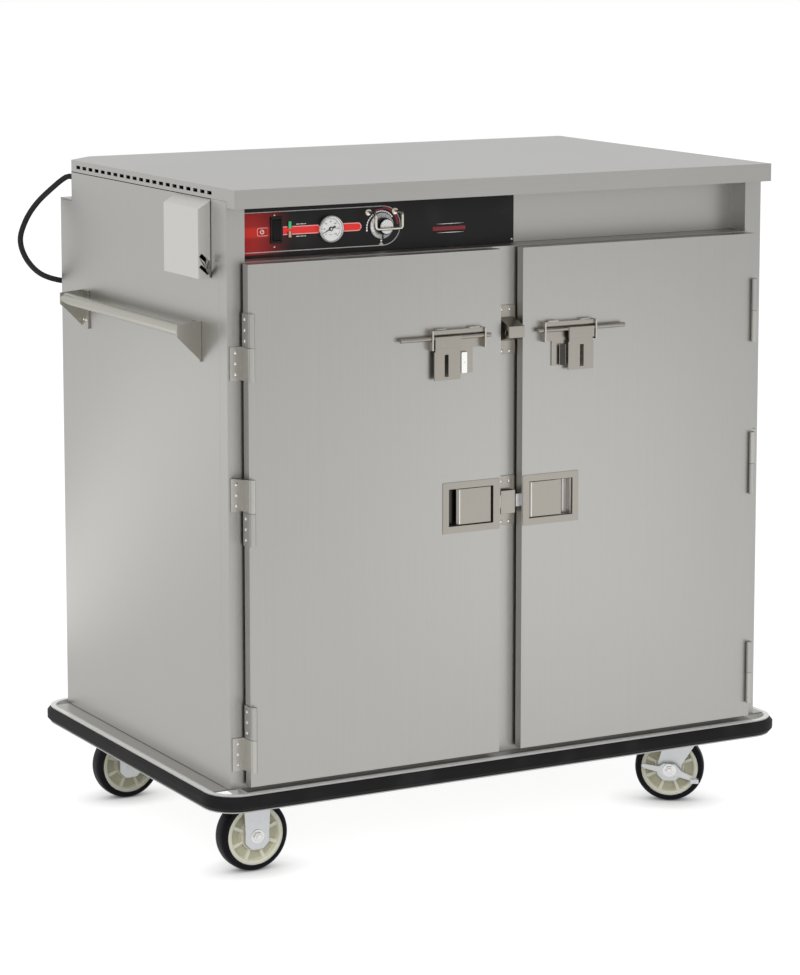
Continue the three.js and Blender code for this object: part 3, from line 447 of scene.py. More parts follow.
def new_material(name):
    material = bpy.data.materials.new(name)
    material.use_nodes = True
    tree = material.node_tree
    return material, Shader(tree), tree.nodes["Principled BSDF"]


def grey(level):
    return (level, level, level)


def brushed(name, colour, roughness, stretch, tone=0.07, dull=0.07, lift=0.12, metallic=1.0):
    """Brushed metal whose grain runs the way of the smallest stretch."""
    material, s, bsdf = new_material(name)
    grain = s.group("grain", Stretch=stretch, Tone_Depth=tone, Dull=roughness, Dull_Depth=dull)
    tinted = s.vector_math("SCALE", colour)
    s.feed(tinted, Scale=grain["Tone"])
    s.feed(bsdf, Base_Color=tinted.outputs[0], Metallic=metallic, Roughness=grain["Roughness"],
           Normal=s.bump(grain["Height"], lift))
    return material


def moulded(name, colour, roughness, scale, dust, lift, dust_colour=(0.3, 0.29, 0.27), shine=0.5):
    """Rubber, plastic or print with a fine moulded texture."""
    material, s, bsdf = new_material(name)
    speckle = s.group("speckle", Scale=scale, Dust=dust)
    dull = s.math("ADD", s.math("MULTIPLY", speckle["Mask"], 0.6), roughness, clamp=True)
    s.feed(bsdf, Base_Color=s.mix(speckle["Mask"], colour, dust_colour), Roughness=dull,
           Specular_IOR_Level=shine, Normal=s.bump(speckle["Height"], lift))
    return material


# Soft steps in the panel's print, in metres: where each starts, and where it ends.
RED_FADE = (-0.520, -0.415)
RED_LOW = (1.1495, 1.1515)
RED_HIGH = (1.2255, 1.2275)
SWITCH_ACROSS = (0.0115, 0.0125)
SWITCH_UP = (0.0235, 0.0245)
BAND = (0.005, 0.013)
LENS = (0.0022, 0.0028)


def control_print(finish):
    """The panel's black print. Red fades in towards its left end, except round the switch."""
    material, s, bsdf = new_material("Control Panel Print")
    x, _, z = s.axes(s.place())
    across = s.span(x, *RED_FADE, 1.0, 0.0)
    inside = s.math("MULTIPLY", s.span(z, *RED_LOW), s.span(z, *RED_HIGH, 1.0, 0.0))
    beside = s.span(s.away(x, SWITCH_X * MM), *SWITCH_ACROSS)
    above = s.span(s.away(z, SWITCH_Z * MM), *SWITCH_UP)
    outside = s.math("MAXIMUM", beside, above)
    amount = s.math("MULTIPLY", s.math("MULTIPLY", across, inside), outside)
    band = s.span(s.away(z, PANEL_Z * MM), *BAND, 0.6, 0.0)
    red = s.mix(band, tuple(finish.panel_red), (0.85, 0.045, 0.03))
    base = s.mix(amount, tuple(finish.panel_black), red)
    speckle = s.group("speckle", Scale=900.0, Dust=0.04)
    s.feed(bsdf, Base_Color=s.mix(speckle["Mask"], base, (0.2, 0.19, 0.18)),
           Roughness=s.math("ADD", s.math("MULTIPLY", speckle["Mask"], 0.5), 0.3),
           Specular_IOR_Level=0.2, Normal=s.bump(speckle["Height"], 0.04))
    return material


def lens(name, colour, glow):
    """A small moulded lamp lens with a faint glow, in a black holder."""
    material, s, bsdf = new_material(name)
    speckle = s.group("speckle", Scale=500.0, Dust=0.15)
    bright = s.mix(speckle["Mask"], colour, tuple(min(1, c * 1.8) for c in colour))
    aside = s.away(s.axes(s.place())[0], LAMP_X * MM)
    tint = s.mix(s.span(aside, *LENS), bright, grey(0.01))
    s.feed(bsdf, Base_Color=tint, Emission_Color=tint, Emission_Strength=glow, Coat_Weight=0.6,
           Roughness=s.math("ADD", speckle["Mask"], 0.15), Normal=s.bump(speckle["Height"], 0.05))
    return material


def clear_glass():
    material, s, bsdf = new_material("Gauge Glass")
    speckle = s.group("speckle", Scale=30.0, Dust=0.05)
    s.feed(bsdf, Base_Color=grey(1), Roughness=s.math("ADD", speckle["Mask"], 0.02),
           Transmission_Weight=1.0, IOR=1.2)
    return material


def make_finishes(finish):
    """Fills FINISHES. Metals get stretch, tone, dull and lift; the rest scale, dust and lift."""
    GROUPS.update(grain=grain_group(), speckle=speckle_group())
    steel, fitting = tuple(finish.stainless), tuple(finish.fitting)
    dull = finish.stainless_roughness
    bright = (0.92, 0.92, 0.90)
    pan = ((300, 300, 20), 0.1, 0.08, 0.08)
    FINISHES.update(
        upright=brushed("Brushed Stainless Upright", steel, dull, (420, 420, 4)),
        level=brushed("Brushed Stainless Level", steel, dull, (4, 420, 420)),
        louvre=brushed("Louvre Steel", (0.74, 0.735, 0.70), dull, (420, 420, 4), metallic=0.85),
        fitting=brushed("Cast Stainless", fitting, 0.3, (60, 60, 60), 0.12, 0.12, 0.06),
        satin=brushed("Satin Nickel", fitting, 0.33, *pan),
        # Painted light: the left latch pan is a dark copy of the lining as painted shade, the right
        # one a bright copy as a painted highlight.
        left_pan=brushed("Shaded Latch Pan", (0.07, 0.065, 0.06), 0.3, *pan),
        right_pan=brushed("Bright Latch Pan", (0.66, 0.63, 0.60), 0.3, *pan),
        polished=brushed("Polished Stainless", (0.92, 0.88, 0.77), 0.22, (50, 50, 50),
                         0.05, 0.05, 0.02),
        handle=brushed("Satin Handle", (0.50, 0.485, 0.43), 0.3, (300, 6, 300), 0.12, 0.08, 0.08),
        hinge=brushed("Hinge Steel", (0.56, 0.55, 0.51), 0.3, (200, 200, 40), 0.1, 0.08, 0.05),
        # Painted highlight: a bright, half-metallic white laid on edges that catch a highlight.
        edge=brushed("Painted Highlight Edge", bright, 0.3, (40, 40, 200), metallic=0.4),
        screw=brushed("Screw Steel", bright, 0.2, (200, 200, 200), 0.06, 0.05, 0.03),
        zinc=brushed("Zinc Plate", (0.76, 0.77, 0.78), 0.36, (90, 90, 90), 0.12, 0.14, 0.1, 0.8),
        chrome=brushed("Chrome", grey(0.78), 0.07, (40, 40, 40), 0.02, 0.02, 0.01),
        knob_metal=brushed("Spun Knob", (0.80, 0.80, 0.79), 0.28, (260, 260, 260),
                           0.12, 0.08, 0.05, 0.5),
        # Painted shade: a near-black strip laid where a gap falls in shadow.
        seam=moulded("Painted Gap Shade", grey(0.02), 0.6, 600, 0.05, 0.05, shine=0.1),
        bumper=moulded("Bumper Rubber", tuple(finish.bumper), 0.5, 500, 0.03, 0.1, shine=0.12),
        tread=moulded("Tread Rubber", (0.006, 0.006, 0.009), 0.4, 400, 0.03, 0.12, shine=0.12),
        seal=moulded("Seal Rubber", (0.05, 0.05, 0.052), 0.6, 600, 0.05, 0.1),
        hub=moulded("Cream Hub", tuple(finish.hub), 0.42, 260, 0.2, 0.08, (0.42, 0.40, 0.30)),
        # Painted shade: a darker copy of the hub's cream for its recessed web.
        hub_shade=moulded("Hub Recess Painted Shade", (0.48, 0.47, 0.35), 0.5, 260, 0.3, 0.08,
                          (0.2, 0.19, 0.13)),
        plastic=moulded("Black Plastic", grey(0.014), 0.35, 900, 0.03, 0.12),
        cord=moulded("Cord Jacket", (0.012, 0.012, 0.013), 0.45, 800, 0.03, 0.1, shine=0.3),
        rocker=moulded("Rocker Plastic", grey(0.004), 0.3, 900, 0.02, 0.05, shine=0.2),
        silver_print=moulded("Silver Print", (0.42, 0.41, 0.41), 0.4, 900, 0.05, 0.02),
        pale_print=moulded("Pale Print", (0.98, 0.97, 0.96), 0.4, 900, 0.05, 0.02),
        pink_print=moulded("Pink Print", (0.95, 0.42, 0.40), 0.4, 900, 0.03, 0.02),
        red_print=moulded("Red Print", (0.86, 0.035, 0.03), 0.4, 900, 0.02, 0.02,
                          (0.3, 0.05, 0.04)),
        dark_red_print=moulded("Dark Red Print", (0.22, 0.014, 0.025), 0.35, 900, 0.02, 0.02,
                               (0.2, 0.03, 0.03)),
        dial_white=moulded("Dial White", (0.86, 0.86, 0.85), 0.4, 900, 0.05, 0.02),
        dial_black=moulded("Dial Black", grey(0.03), 0.4, 900, 0.02, 0.02),
        panel=control_print(finish),
        green=lens("Green Lens", (0.02, 0.42, 0.16), 0.25),
        amber=lens("Clear Amber Lens", (0.55, 0.33, 0.22), 0.05),
        glass=clear_glass(),
    )


class CART_OT_finishes(bpy.types.Operator):
    """Build every material from the settings"""

    bl_idname = "meal_cart.finishes"
    bl_label = "Finishes"

    def execute(self, context):
        make_finishes(context.scene.cart_finish)
        return {"FINISHED"}


# ---- stage

FILM = 36
FOCAL_PX = 3331.8
PHOTO_H = 975
LENS_CENTRE_PX = 350
CAMERA_AT = (-3.1278, -5.6603, 1.8277)
CAMERA_DOWN = 8.134
CAMERA_TURN = -28.79
FLOOR_GREY = 0.4
FLOOR_TO_EYE = 0.84
FLOOR_IN_METAL = 0.54
SHADOW_REACH = 0.075
# Each lamp's name, place, aim, size, watts, roll in degrees, and whether metal shows it.
LAMPS = (
    ("Front Softbox", (0.9, -1.8, 0.35), (0.0, -0.4, 0.6), (0.75, 1.0), 0.8, 0, True),
    ("Left Strip", (-0.95, 0.84, 0.52), (-0.573, 0.02, 0.7), (0.16, 0.8), 0.2, -34, True),
    ("Overhead Softbox", (-0.6, -1.2, 3.2), (0, 0, 0.8), (2.4, 2.4), 12, 0, True),
    ("Front Fill", (-1.6, -3.2, 1.5), (-0.2, -0.4, 0.9), (2.4, 2.0), 60, 0, False),
)


class CART_OT_stage(bpy.types.Operator):
    """Set the camera, lamps, world and floor"""

    bl_idname = "meal_cart.stage"
    bl_label = "Stage"

    def execute(self, context):
        scene = context.scene
        scene.view_settings.view_transform = "Standard"
        camera = bpy.data.cameras.new("Camera")
        camera.sensor_width = FILM
        camera.lens = FOCAL_PX * FILM / PHOTO_H
        camera.shift_y = (LENS_CENTRE_PX - PHOTO_H / 2) / PHOTO_H
        camera.clip_end = 100
        holder = bpy.data.objects.new("Camera", camera)
        holder.location = CAMERA_AT
        holder.rotation_euler = (math.radians(90 - CAMERA_DOWN), 0, math.radians(CAMERA_TURN))
        scene.collection.objects.link(holder)
        scene.camera = holder
        self.world(scene)
        self.floor(scene)
        for lamp in LAMPS:
            self.lamp(scene, *lamp)
        return {"FINISHED"}

    def lamp(self, scene, name, at, to, size, power, roll, glossy):
        """An area lamp that the camera doesn't see."""
        data = bpy.data.lights.new(name, "AREA")
        data.shape = "RECTANGLE"
        data.size, data.size_y = size
        data.energy = power
        holder = bpy.data.objects.new(name, data)
        aim = (Vector(to) - Vector(at)).to_track_quat("-Z", "Y").to_matrix().to_4x4()
        spin = Matrix.Rotation(math.radians(roll), 4, "Z")
        holder.matrix_world = Matrix.Translation(at) @ aim @ spin
        holder.visible_camera = False
        holder.visible_glossy = glossy
        scene.collection.objects.link(holder)

    def world(self, scene):
        """White to the camera, a soft studio gradient to everything else."""
        world = bpy.data.worlds.new("Studio")
        scene.world = world
        world.use_nodes = True
        s = Shader(world.node_tree)
        _, y, z = s.axes(s.place("Generated"))
        studio = s.math("MULTIPLY", s.span(y, -0.3, 0.7, 0.6, 0.85), s.span(z, 0.1, 0.8, 1.0, 0.8))
        seen = s.add("LightPath").outputs["Is Camera Ray"]
        level = s.math("ADD", s.math("MULTIPLY", s.math("SUBTRACT", 1.0, seen), studio), seen)
        s.feed(s.tree.nodes["Background"], Color=grey(1), Strength=level)

    def floor(self, scene):
        """A white floor that keeps the cart's soft shadow, and that metal shows more faintly."""
        bm = bmesh.new()
        bmesh.ops.create_grid(bm, x_segments=1, y_segments=1, size=14)
        mesh = bpy.data.meshes.new("Studio Floor")
        bm.to_mesh(mesh)
        bm.free()
        floor = bpy.data.objects.new("Studio_Floor", mesh)
        scene.collection.objects.link(floor)
        material, s, bsdf = new_material("Studio Floor")
        s.tree.nodes.remove(bsdf)
        path = s.add("LightPath").outputs
        shade_node = s.add("AmbientOcclusion", samples=16)
        near = s.feed(shade_node, Distance=SHADOW_REACH)["AO"]
        to_eye = s.math("MULTIPLY", path["Is Camera Ray"], FLOOR_TO_EYE)
        in_metal = s.math("MAXIMUM", path["Is Glossy Ray"], path["Is Transmission Ray"])
        level = s.math("ADD", to_eye, s.math("MULTIPLY", in_metal, FLOOR_IN_METAL))
        diffuse = s.feed(s.add("BsdfDiffuse"), Color=grey(FLOOR_GREY))[0]
        glow = s.feed(s.add("Emission"), Strength=s.math("MULTIPLY", level, near))[0]
        both = s.add("AddShader")
        s.put(both.inputs, (diffuse, glow))
        s.feed(s.tree.nodes["Material Output"], Surface=both.outputs[0])
        mesh.materials.append(material)


# ---- power cord

CORD_D = 11.0
CORD_Z = 1240.0
# How much of the cabinet's width and depth the cut corner takes.
CORNER = (62.0, 56.0)
GLAND_OUT = 16.0
COIL_X = 150.0
COIL_Z = 955.0
COIL_R = 61.0
COIL_PITCH = 11.5
# Turns of the coil: inwards, over to the other layer, and outwards.
COIL_TURNS = (3.0, 0.5, 3.75)
COIL_OUT = COIL_R + COIL_TURNS[0] / 2 * COIL_PITCH
COIL_BACK = COIL_TURNS[0] + COIL_TURNS[1] / 2
LAYER_BACK = BACK_Y + 10
LAYER_FRONT = LAYER_BACK + COIL_PITCH
# The lead's way round the corner, from the cabinet's front left corner.
LEAD_ROUTE = (
    (-14, 766, 1212), (-38, 782, 1183), (-57, 789, 1151), (-68, 790, 1114), (-58, 787, 1078),
    (-31, 782, 1047), (11, 775, 1031), (60, 769, 1028),
)
# The plug's height below the coil's end, and its size there.
PLUG_BODY = ((-26.6, 0.70), (-30, 0.92), (-36, 1.0), (-52, 1.0), (-60, 0.93), (-62, 0.82))


def outlet():
    """The way out of the cut corner, and the place where the cord leaves it."""
    way = Vector((-CORNER[1], CORNER[0], 0)).normalized()
    middle = Vector((-HALF_W + CORNER[0] / 2, BACK_Y - CORNER[1] / 2, CORD_Z))
    return way, middle


def centripetal(points, count):
    """A centripetal Catmull-Rom curve through points, as even steps, and its length."""
    ends = [2 * points[0] - points[1], *points, 2 * points[-1] - points[-2]]
    dense = []
    for i in range(1, len(ends) - 2):
        p0, p1, p2, p3 = ends[i - 1 : i + 3]
        t0 = 0.0
        t1 = t0 + (p1 - p0).length ** 0.5
        t2 = t1 + (p2 - p1).length ** 0.5
        t3 = t2 + (p3 - p2).length ** 0.5
        for k in range(24):
            t = t1 + (t2 - t1) * k / 24
            a1 = p0.lerp(p1, (t - t0) / (t1 - t0))
            a2 = p1.lerp(p2, (t - t1) / (t2 - t1))
            a3 = p2.lerp(p3, (t - t2) / (t3 - t2))
            b1 = a1.lerp(a2, (t - t0) / (t2 - t0))
            b2 = a2.lerp(a3, (t - t1) / (t3 - t1))
            dense.append(b1.lerp(b2, (t - t1) / (t2 - t1)))
    dense.append(points[-1])
    lengths = [0.0]
    for a, b in zip(dense, dense[1:]):
        lengths.append(lengths[-1] + (b - a).length)
    even, k = [], 0
    for i in range(count + 1):
        want = lengths[-1] * i / count
        while k < len(dense) - 2 and lengths[k + 1] < want:
            k += 1
        part = (want - lengths[k]) / max(1e-9, lengths[k + 1] - lengths[k])
        even.append(dense[k].lerp(dense[k + 1], min(1.0, part)))
    return even, lengths[-1]


def lead_points():
    """The lead's route from the cut corner to the coil on the back wall, and its length."""
    way, middle = outlet()
    start = middle + way * (0.5 + GLAND_OUT + 0.3)
    points = [start, start + way * CORD_D]
    points += [Vector((x - HALF_W, y + FRONT_Y, z)) for x, y, z in LEAD_ROUTE]
    end_x = COIL_X - HALF_W - CORD_D - 0.3
    points.append(Vector((end_x - CORD_D * 1.5, LAYER_FRONT, COIL_Z + COIL_OUT)))
    points.append(Vector((end_x, LAYER_FRONT, COIL_Z + COIL_OUT)))
    even, length = centripetal(points, 60)
    return [p * MM for p in even], length * MM


def coil_points(per_turn=40):
    """The coil: in, back to the other layer and out again, then down to the plug."""
    inward, climb, outward = COIL_TURNS
    turns = inward + climb + outward
    points = []
    for i in range(round(turns * per_turn) + 1):
        t = i / per_turn
        a = math.pi / 2 - 2 * math.pi * t
        r = COIL_OUT + (abs(t - COIL_BACK) - COIL_BACK) * COIL_PITCH
        part = min(1.0, max(0.0, (t - inward) / climb))
        y = LAYER_FRONT + (LAYER_BACK - LAYER_FRONT) * part
        x, z = COIL_X - HALF_W + r * math.cos(a), COIL_Z + r * math.sin(a)
        points.append(Vector((x, y, z)))
    points.insert(0, points[0] - Vector((CORD_D, 0, 0)))
    points.append(points[-1] - Vector((0, 0, CORD_D)))
    length = sum((b - a).length for a, b in zip(points, points[1:]))
    return [p * MM for p in points], length * MM


class CART_OT_cord(bpy.types.Operator):
    """Make the power cord, its coil, strain relief and plug"""

    bl_idname = "meal_cart.cord"
    bl_label = "Power Cord"

    def execute(self, context):
        jacket = (CORD_D / 2, "cord", "black_rubber")
        points, length = lead_points()
        lead = tube_curve("power_cord_lead", points, *jacket, "cord_lead")
        turns, coil_length = coil_points()
        coil = tube_curve("power_cord_coil", turns, *jacket, "cord_coil")
        self.relief()
        plug = self.plug(turns[-1])
        return {"FINISHED"}

    def relief(self):
        """A ribbed, tapered strain relief on the cut corner."""
        profile = [(0, 0.6), (13, 0.6), (13, 4.6), (12.4, 5.4), (9.6, 5.4)]
        for i in range(3):
            z = 6.4 + i * 3.2
            r = 9.2 - i * 0.9
            profile += [(r, z - 0.4), (r, z + 1.0), (r - 1.2, z + 1.3), (r - 1.2, z + 2.3)]
        profile += [(6.6, 15.9), (0, 15.9)]
        bm = bmesh.new()
        add_lathe(bm, profile, facing(*outlet()), 36)
        finish_mesh(bm, "cord_strain_relief", "cart", "plastic", "cord_gland")

    def plug(self, end):
        """A moulded three-pin plug that hangs from the coil."""
        bm = bmesh.new()
        base = Matrix.Translation(end - Vector((0, 0, 0.3 * MM))) @ Matrix.Scale(MM, 4)
        neck = [(0, 0), (5.9, 0)]
        for i in range(4):
            z = -3 - i * 6
            r = 6.3 + i * 0.6
            neck += [(r, z), (r + 0.5, z - 3), (r - 0.4, z - 3.6), (r - 0.4, z - 5.4)]
        neck += [(8.6, -28), (0, -28)]
        add_lathe(bm, neck, base, 28)
        rings = []
        for z, size in PLUG_BODY:
            half_x, half_y = 15 * size, 11.5 * size
            outline = rounded_rect(-half_x, half_x, 2.5 - half_y, 2.5 + half_y, 6 * size)
            rings.append(add_ring(bm, base, outline, z))
        join_rings(bm, rings)
        bm.faces.new(rings[0])
        bm.faces.new(rings[-1][::-1])
        for x in (-6.4, 6.4):
            pin = rounded_rect(x - 0.8, x + 0.8, -6, 0.4, 0.5, 2)
            add_prism(bm, pin, -19, shifted(base, z=-61), 1)
        earth = [(0, -61), (2.4, -61), (2.4, -80.5), (1.6, -82), (0, -82)]
        add_lathe(bm, earth, shifted(base, y=9), 16, 1)
        return finish_mesh(bm, "mains_plug", "cart", "plastic screw", "plug")


# ---- cabinet finishes

# Each finish, and the CAD nodes that it goes on.
NODE_FINISHES = {
    "upright": "side_wall_* back_wall door_frame left_door right_door",
    "level": "roof base_frame cabinet_liner heater_box tray_rack_*",
    "louvre": "louvre_box",
    "bumper": "bumper_strip",
    "panel": "control_panel",
    "rocker": "rocker_switch",
    "green": "pilot_lamp_green",
    "amber": "pilot_lamp_amber",
    "chrome": "thermometer_case thermostat_knob",
    "dial_black": "thermometer_pointer",
    "polished": "knob_guard",
    "plastic": "cord_gland plug",
    "cord": "cord_lead cord_coil",
    "zinc": "blower_wheel *_latch_tongue rigid_caster_* swivel_plate_* swivel_fork_* brake_lever_*",
    "fitting": "bolt_keeper latch_strike cord_hook *_bolt_guide",
    "satin": "*_latch_paddle *_bolt_rod",
    "handle": "push_handle_*",
    "seal": "*_door_seal",
    "hinge": "*_hinge_leaf_*",
    "tread": "rigid_wheel_* swivel_wheel_*",
}
SMALL_EDGES = ("thermometer_pointer", "control_panel", "rocker_switch")
SMALL_EDGE = 0.0003


class CART_OT_cabinet(bpy.types.Operator):
    """Give every carried-over part its finish and round its edges"""

    bl_idname = "meal_cart.cabinet"
    bl_label = "Cabinet Finishes"

    def execute(self, context):
        detail = context.scene.cart_detail
        for name, node in NODES.items():
            keys = [key for key, patterns in NODE_FINISHES.items()
                    if any(fnmatch(name, pattern) for pattern in patterns.split())]
            if len(keys) != 1:
                raise RuntimeError(f"{name} has the finishes {keys}")
            sheet = keys[0] in ("upright", "louvre") or name in ("roof", "base_frame", "heater_box")
            width = detail.edge_radius if sheet else detail.fitting_edge
            node.data.materials.clear()
            node.data.materials.append(FINISHES[keys[0]])
            add_bevel(node, SMALL_EDGE if name in SMALL_EDGES else width, weld=True)
            shade(node.data)
        return {"FINISHED"}


# ---- printed control panel

PRINT_T = 0.2
BORDER_LEFT, BORDER_RIGHT, BORDER_R = -536.7, -233.0, 36.0
STRIPE_LEFT, STRIPE_RIGHT, STRIPE_Z = -437.5, -285.2, 0.7
SIGN_X = -479.6
INDEX_X = -236.5
SCREW_X = (-528, 41)
SCREW_Z = (46, -39)
SWITCH_SCREW_Z = (29.8, -27.8)


def print_piece(name, finish, draw):
    """One colour of the panel's print: draw gets millimetres from the panel's middle line."""
    bm = bmesh.new()
    draw(bm, front_matrix(0, PANEL_FACE, PANEL_Z))
    finish_mesh(bm, name, "cart", finish)


class CART_OT_control_print(bpy.types.Operator):
    """Print the control panel: border, stripe, marks and knob scale"""

    bl_idname = "meal_cart.control_print"
    bl_label = "Panel Print"

    def execute(self, context):
        print_piece("panel_border_print", "silver_print", self.border)
        print_piece("panel_stripe_print", "red_print", self.stripe)
        print_piece("panel_stripe_edge_print", "pink_print", self.stripe_edge)
        print_piece("panel_mark_print", "pale_print", self.marks)
        print_piece("knob_scale_print", "pale_print", self.scale)
        print_piece("knob_hot_scale_print", "dark_red_print", self.hot_scale)
        print_piece("panel_bar_print", "dark_red_print", self.bar)
        self.screws(context.scene.cart_detail.screw_radius)
        return {"FINISHED"}

    def border(self, bm, matrix):
        """A line with a round end at the knob, and a small index mark under it."""
        bend = arc(BORDER_R, 90, -90, 32, (BORDER_RIGHT, 0))
        path = [(BORDER_LEFT, BORDER_R), *bend, (BORDER_LEFT, -BORDER_R)]
        add_ribbon(bm, path, 1.5, PRINT_T, matrix)
        index = [(INDEX_X - 5, 1 - BORDER_R), (INDEX_X + 5, 1 - BORDER_R), (INDEX_X, 7 - BORDER_R)]
        add_prism(bm, index, PRINT_T, matrix)

    def stripe(self, bm, matrix):
        """The red stripe that leads to the dial, and a short tick left of the switch."""
        tip = arc(6.3, -90, 90, 12, (STRIPE_RIGHT, STRIPE_Z))
        for left, end in ((STRIPE_LEFT, tip), (-469, [(-466.4, -5.6), (-466.4, 7)])):
            add_prism(bm, [(left, -5.6), *end, (left, 7)], PRINT_T, matrix)

    def stripe_edge(self, bm, matrix):
        """A pink edge round the stripe, and a box round the power sign."""
        tip = arc(6.9, -90, 90, 12, (STRIPE_RIGHT, STRIPE_Z))
        path = [(STRIPE_LEFT, -6.2), *tip, (STRIPE_LEFT, 7.6)]
        add_ribbon(bm, path, 1.6, PRINT_T * 1.5, matrix)
        box = rounded_rect(-489.2, -467.5, -6.4, 7.8, 3.2)
        add_ribbon(bm, box + box[:1], 1.0, PRINT_T, matrix)

    def marks(self, bm, matrix):
        """A power sign, short rules in place of captions, two tapered lines and a dot."""
        add_ribbon(bm, arc(3.4, 125, 415, 20, (SIGN_X, 0.8)), 1.1, PRINT_T, matrix)
        add_ribbon(bm, [(SIGN_X, 1.4), (SIGN_X, 5.6)], 1.1, PRINT_T, matrix)
        for z in (11.6, -10.6):
            for start, end in ((-411, -404), (-402.5, -396), (-394.5, -391)):
                add_ribbon(bm, [(start, z), (end, z)], 1.0, PRINT_T, matrix)
        for z in (-3.2, -19.5):
            taper = [(-122, z), (-105, z + 0.35), (-91, z + 0.5), (-77, z + 0.35), (-60, z),
                     (-77, z - 0.35), (-91, z - 0.5), (-105, z - 0.35)]
            add_prism(bm, taper[::-1], PRINT_T, matrix)
        add_prism(bm, arc(1.7, 0, 330, 11, (INDEX_X, -27.2)), PRINT_T, matrix)

    def scale(self, bm, matrix):
        """Short blocks that follow a line which closes in on the knob."""
        for i in range(18):
            angle = 197 - i * 9.2
            radius = max(27.0, 31.2 - i * 0.65)
            block = arc(radius, angle, angle - 6.8, 4, (KNOB_X, 0))
            add_ribbon(bm, block, 2.3 if i else 3.2, PRINT_T, matrix)

    def hot_scale(self, bm, matrix):
        """A broad arc outside the scale, and a thinner one where it begins."""
        add_ribbon(bm, arc(34.0, 84, 2, 24, (KNOB_X, 0)), 4.4, PRINT_T, matrix)
        add_ribbon(bm, arc(30.6, 116, 84, 8, (KNOB_X, 0)), 2.2, PRINT_T, matrix)

    def bar(self, bm, matrix):
        outline = [(-128, -15.4), (-59, -15.4), (-59, -8.2), (-128, -8.2)]
        add_prism(bm, outline, PRINT_T, matrix)

    def screws(self, radius):
        """Two beside the switch, and one at each corner of the panel."""
        bm = bmesh.new()
        for z in SWITCH_SCREW_Z:
            add_screw(bm, (SWITCH_X - 3, PANEL_FACE, PANEL_Z + z), radius * 0.55, 0.5)
        for x in SCREW_X:
            for z in SCREW_Z:
                add_screw(bm, (x, PANEL_FACE, PANEL_Z + z), radius * 0.6, 0.3)
        finish_mesh(bm, "panel_screws", "cart", "screw")


# ---- dial thermometer and knob

GAUGE_BACK = -327.6
DIAL_START = 225
DIAL_TURN = 270
POINTER_TURN = 205
KNOB_FLUTES = 24
GUARD_OUT = 30.0
GUARD_WIRE = 2.6


class CART_OT_gauge(bpy.types.Operator):
    """Print the dial, its numbers, its pointer and its glass"""

    bl_idname = "meal_cart.gauge"
    bl_label = "Dial Thermometer"

    def execute(self, context):
        base = front_matrix(GAUGE_X, GAUGE_BACK, PANEL_Z)
        face = shifted(base, z=4)
        bm = bmesh.new()
        add_lathe(bm, [(2.2, 0.02), (21.9, 0.02), (21.9, 0.3), (2.2, 0.3)], face, 64, closed=True)
        finish_mesh(bm, "thermometer_dial", "cart", "dial_white")
        self.ticks(face)
        self.numbers(face)
        self.needle(base)
        bm = bmesh.new()
        add_lathe(bm, [(0, 8.0), (21.7, 8.0), (21.7, 8.6), (12, 8.75), (0, 8.8)], base, 64)
        finish_mesh(bm, "thermometer_glass", "cart", "glass")
        return {"FINISHED"}

    def ticks(self, face):
        """Long and short ticks on a thin ring, and a few dashes under the middle."""
        bm = bmesh.new()
        for i in range(55):
            angle = DIAL_START - DIAL_TURN * i / 54
            long, width = (1.7, 0.42) if i % 9 else (3.2, 0.6)
            add_ribbon(bm, [polar(19.4, angle), polar(19.4 - long, angle)], width, 0.36, face)
        add_ribbon(bm, arc(19.6, DIAL_START, DIAL_START - DIAL_TURN, 48), 0.3, 0.34, face)
        for i in range(5):
            add_ribbon(bm, [(-3.6 + i * 1.5, -10.5), (-2.6 + i * 1.5, -10.5)], 0.8, 0.34, face)
        finish_mesh(bm, "thermometer_ticks", "cart", "dial_black")

    def numbers(self, face):
        """The dial's numbers, as flat raised print."""
        for i in range(7):
            text = bpy.data.curves.new(f"Dial Number {i}", "FONT")
            text.body = str(20 * i)
            text.size = 0.0042
            text.extrude = 0.00005
            text.align_x = "CENTER"
            text.align_y = "CENTER"
            text.materials.append(FINISHES["dial_black"])
            piece = bpy.data.objects.new(f"thermometer_number_{i + 1}", text)
            at = face @ Vector((*polar(13.4, DIAL_START - DIAL_TURN / 6 * i), 0.34))
            piece.matrix_world = Matrix.Translation(at) @ Matrix.Rotation(math.pi / 2, 4, "X")
            settle(piece, "cart")

    def needle(self, base):
        """A thin tip and a broad tail on a domed hub."""
        turned = base @ Matrix.Rotation(math.radians(POINTER_TURN), 4, "Z")
        bm = bmesh.new()
        hub = [(2.5, 4.9), (4.0, 4.9), (4.0, 6.2), (3.2, 6.9), (2.5, 6.9)]
        add_lathe(bm, hub, turned, 32, closed=True)
        blade = shifted(turned, z=5.3)
        add_prism(bm, [(3.4, -1.1), (18, -0.45), (18, 0.45), (3.4, 1.1)], 0.8, blade)
        tail = [(-10, -1.2), (-9, -1.9), (-3.2, -1.5), (-3.2, 1.5), (-9, 1.9), (-10, 1.2)]
        add_prism(bm, tail[::-1], 0.8, blade)
        finish_mesh(bm, "thermometer_needle", "thermometer_pointer", "dial_black",
                    "thermometer_pointer")


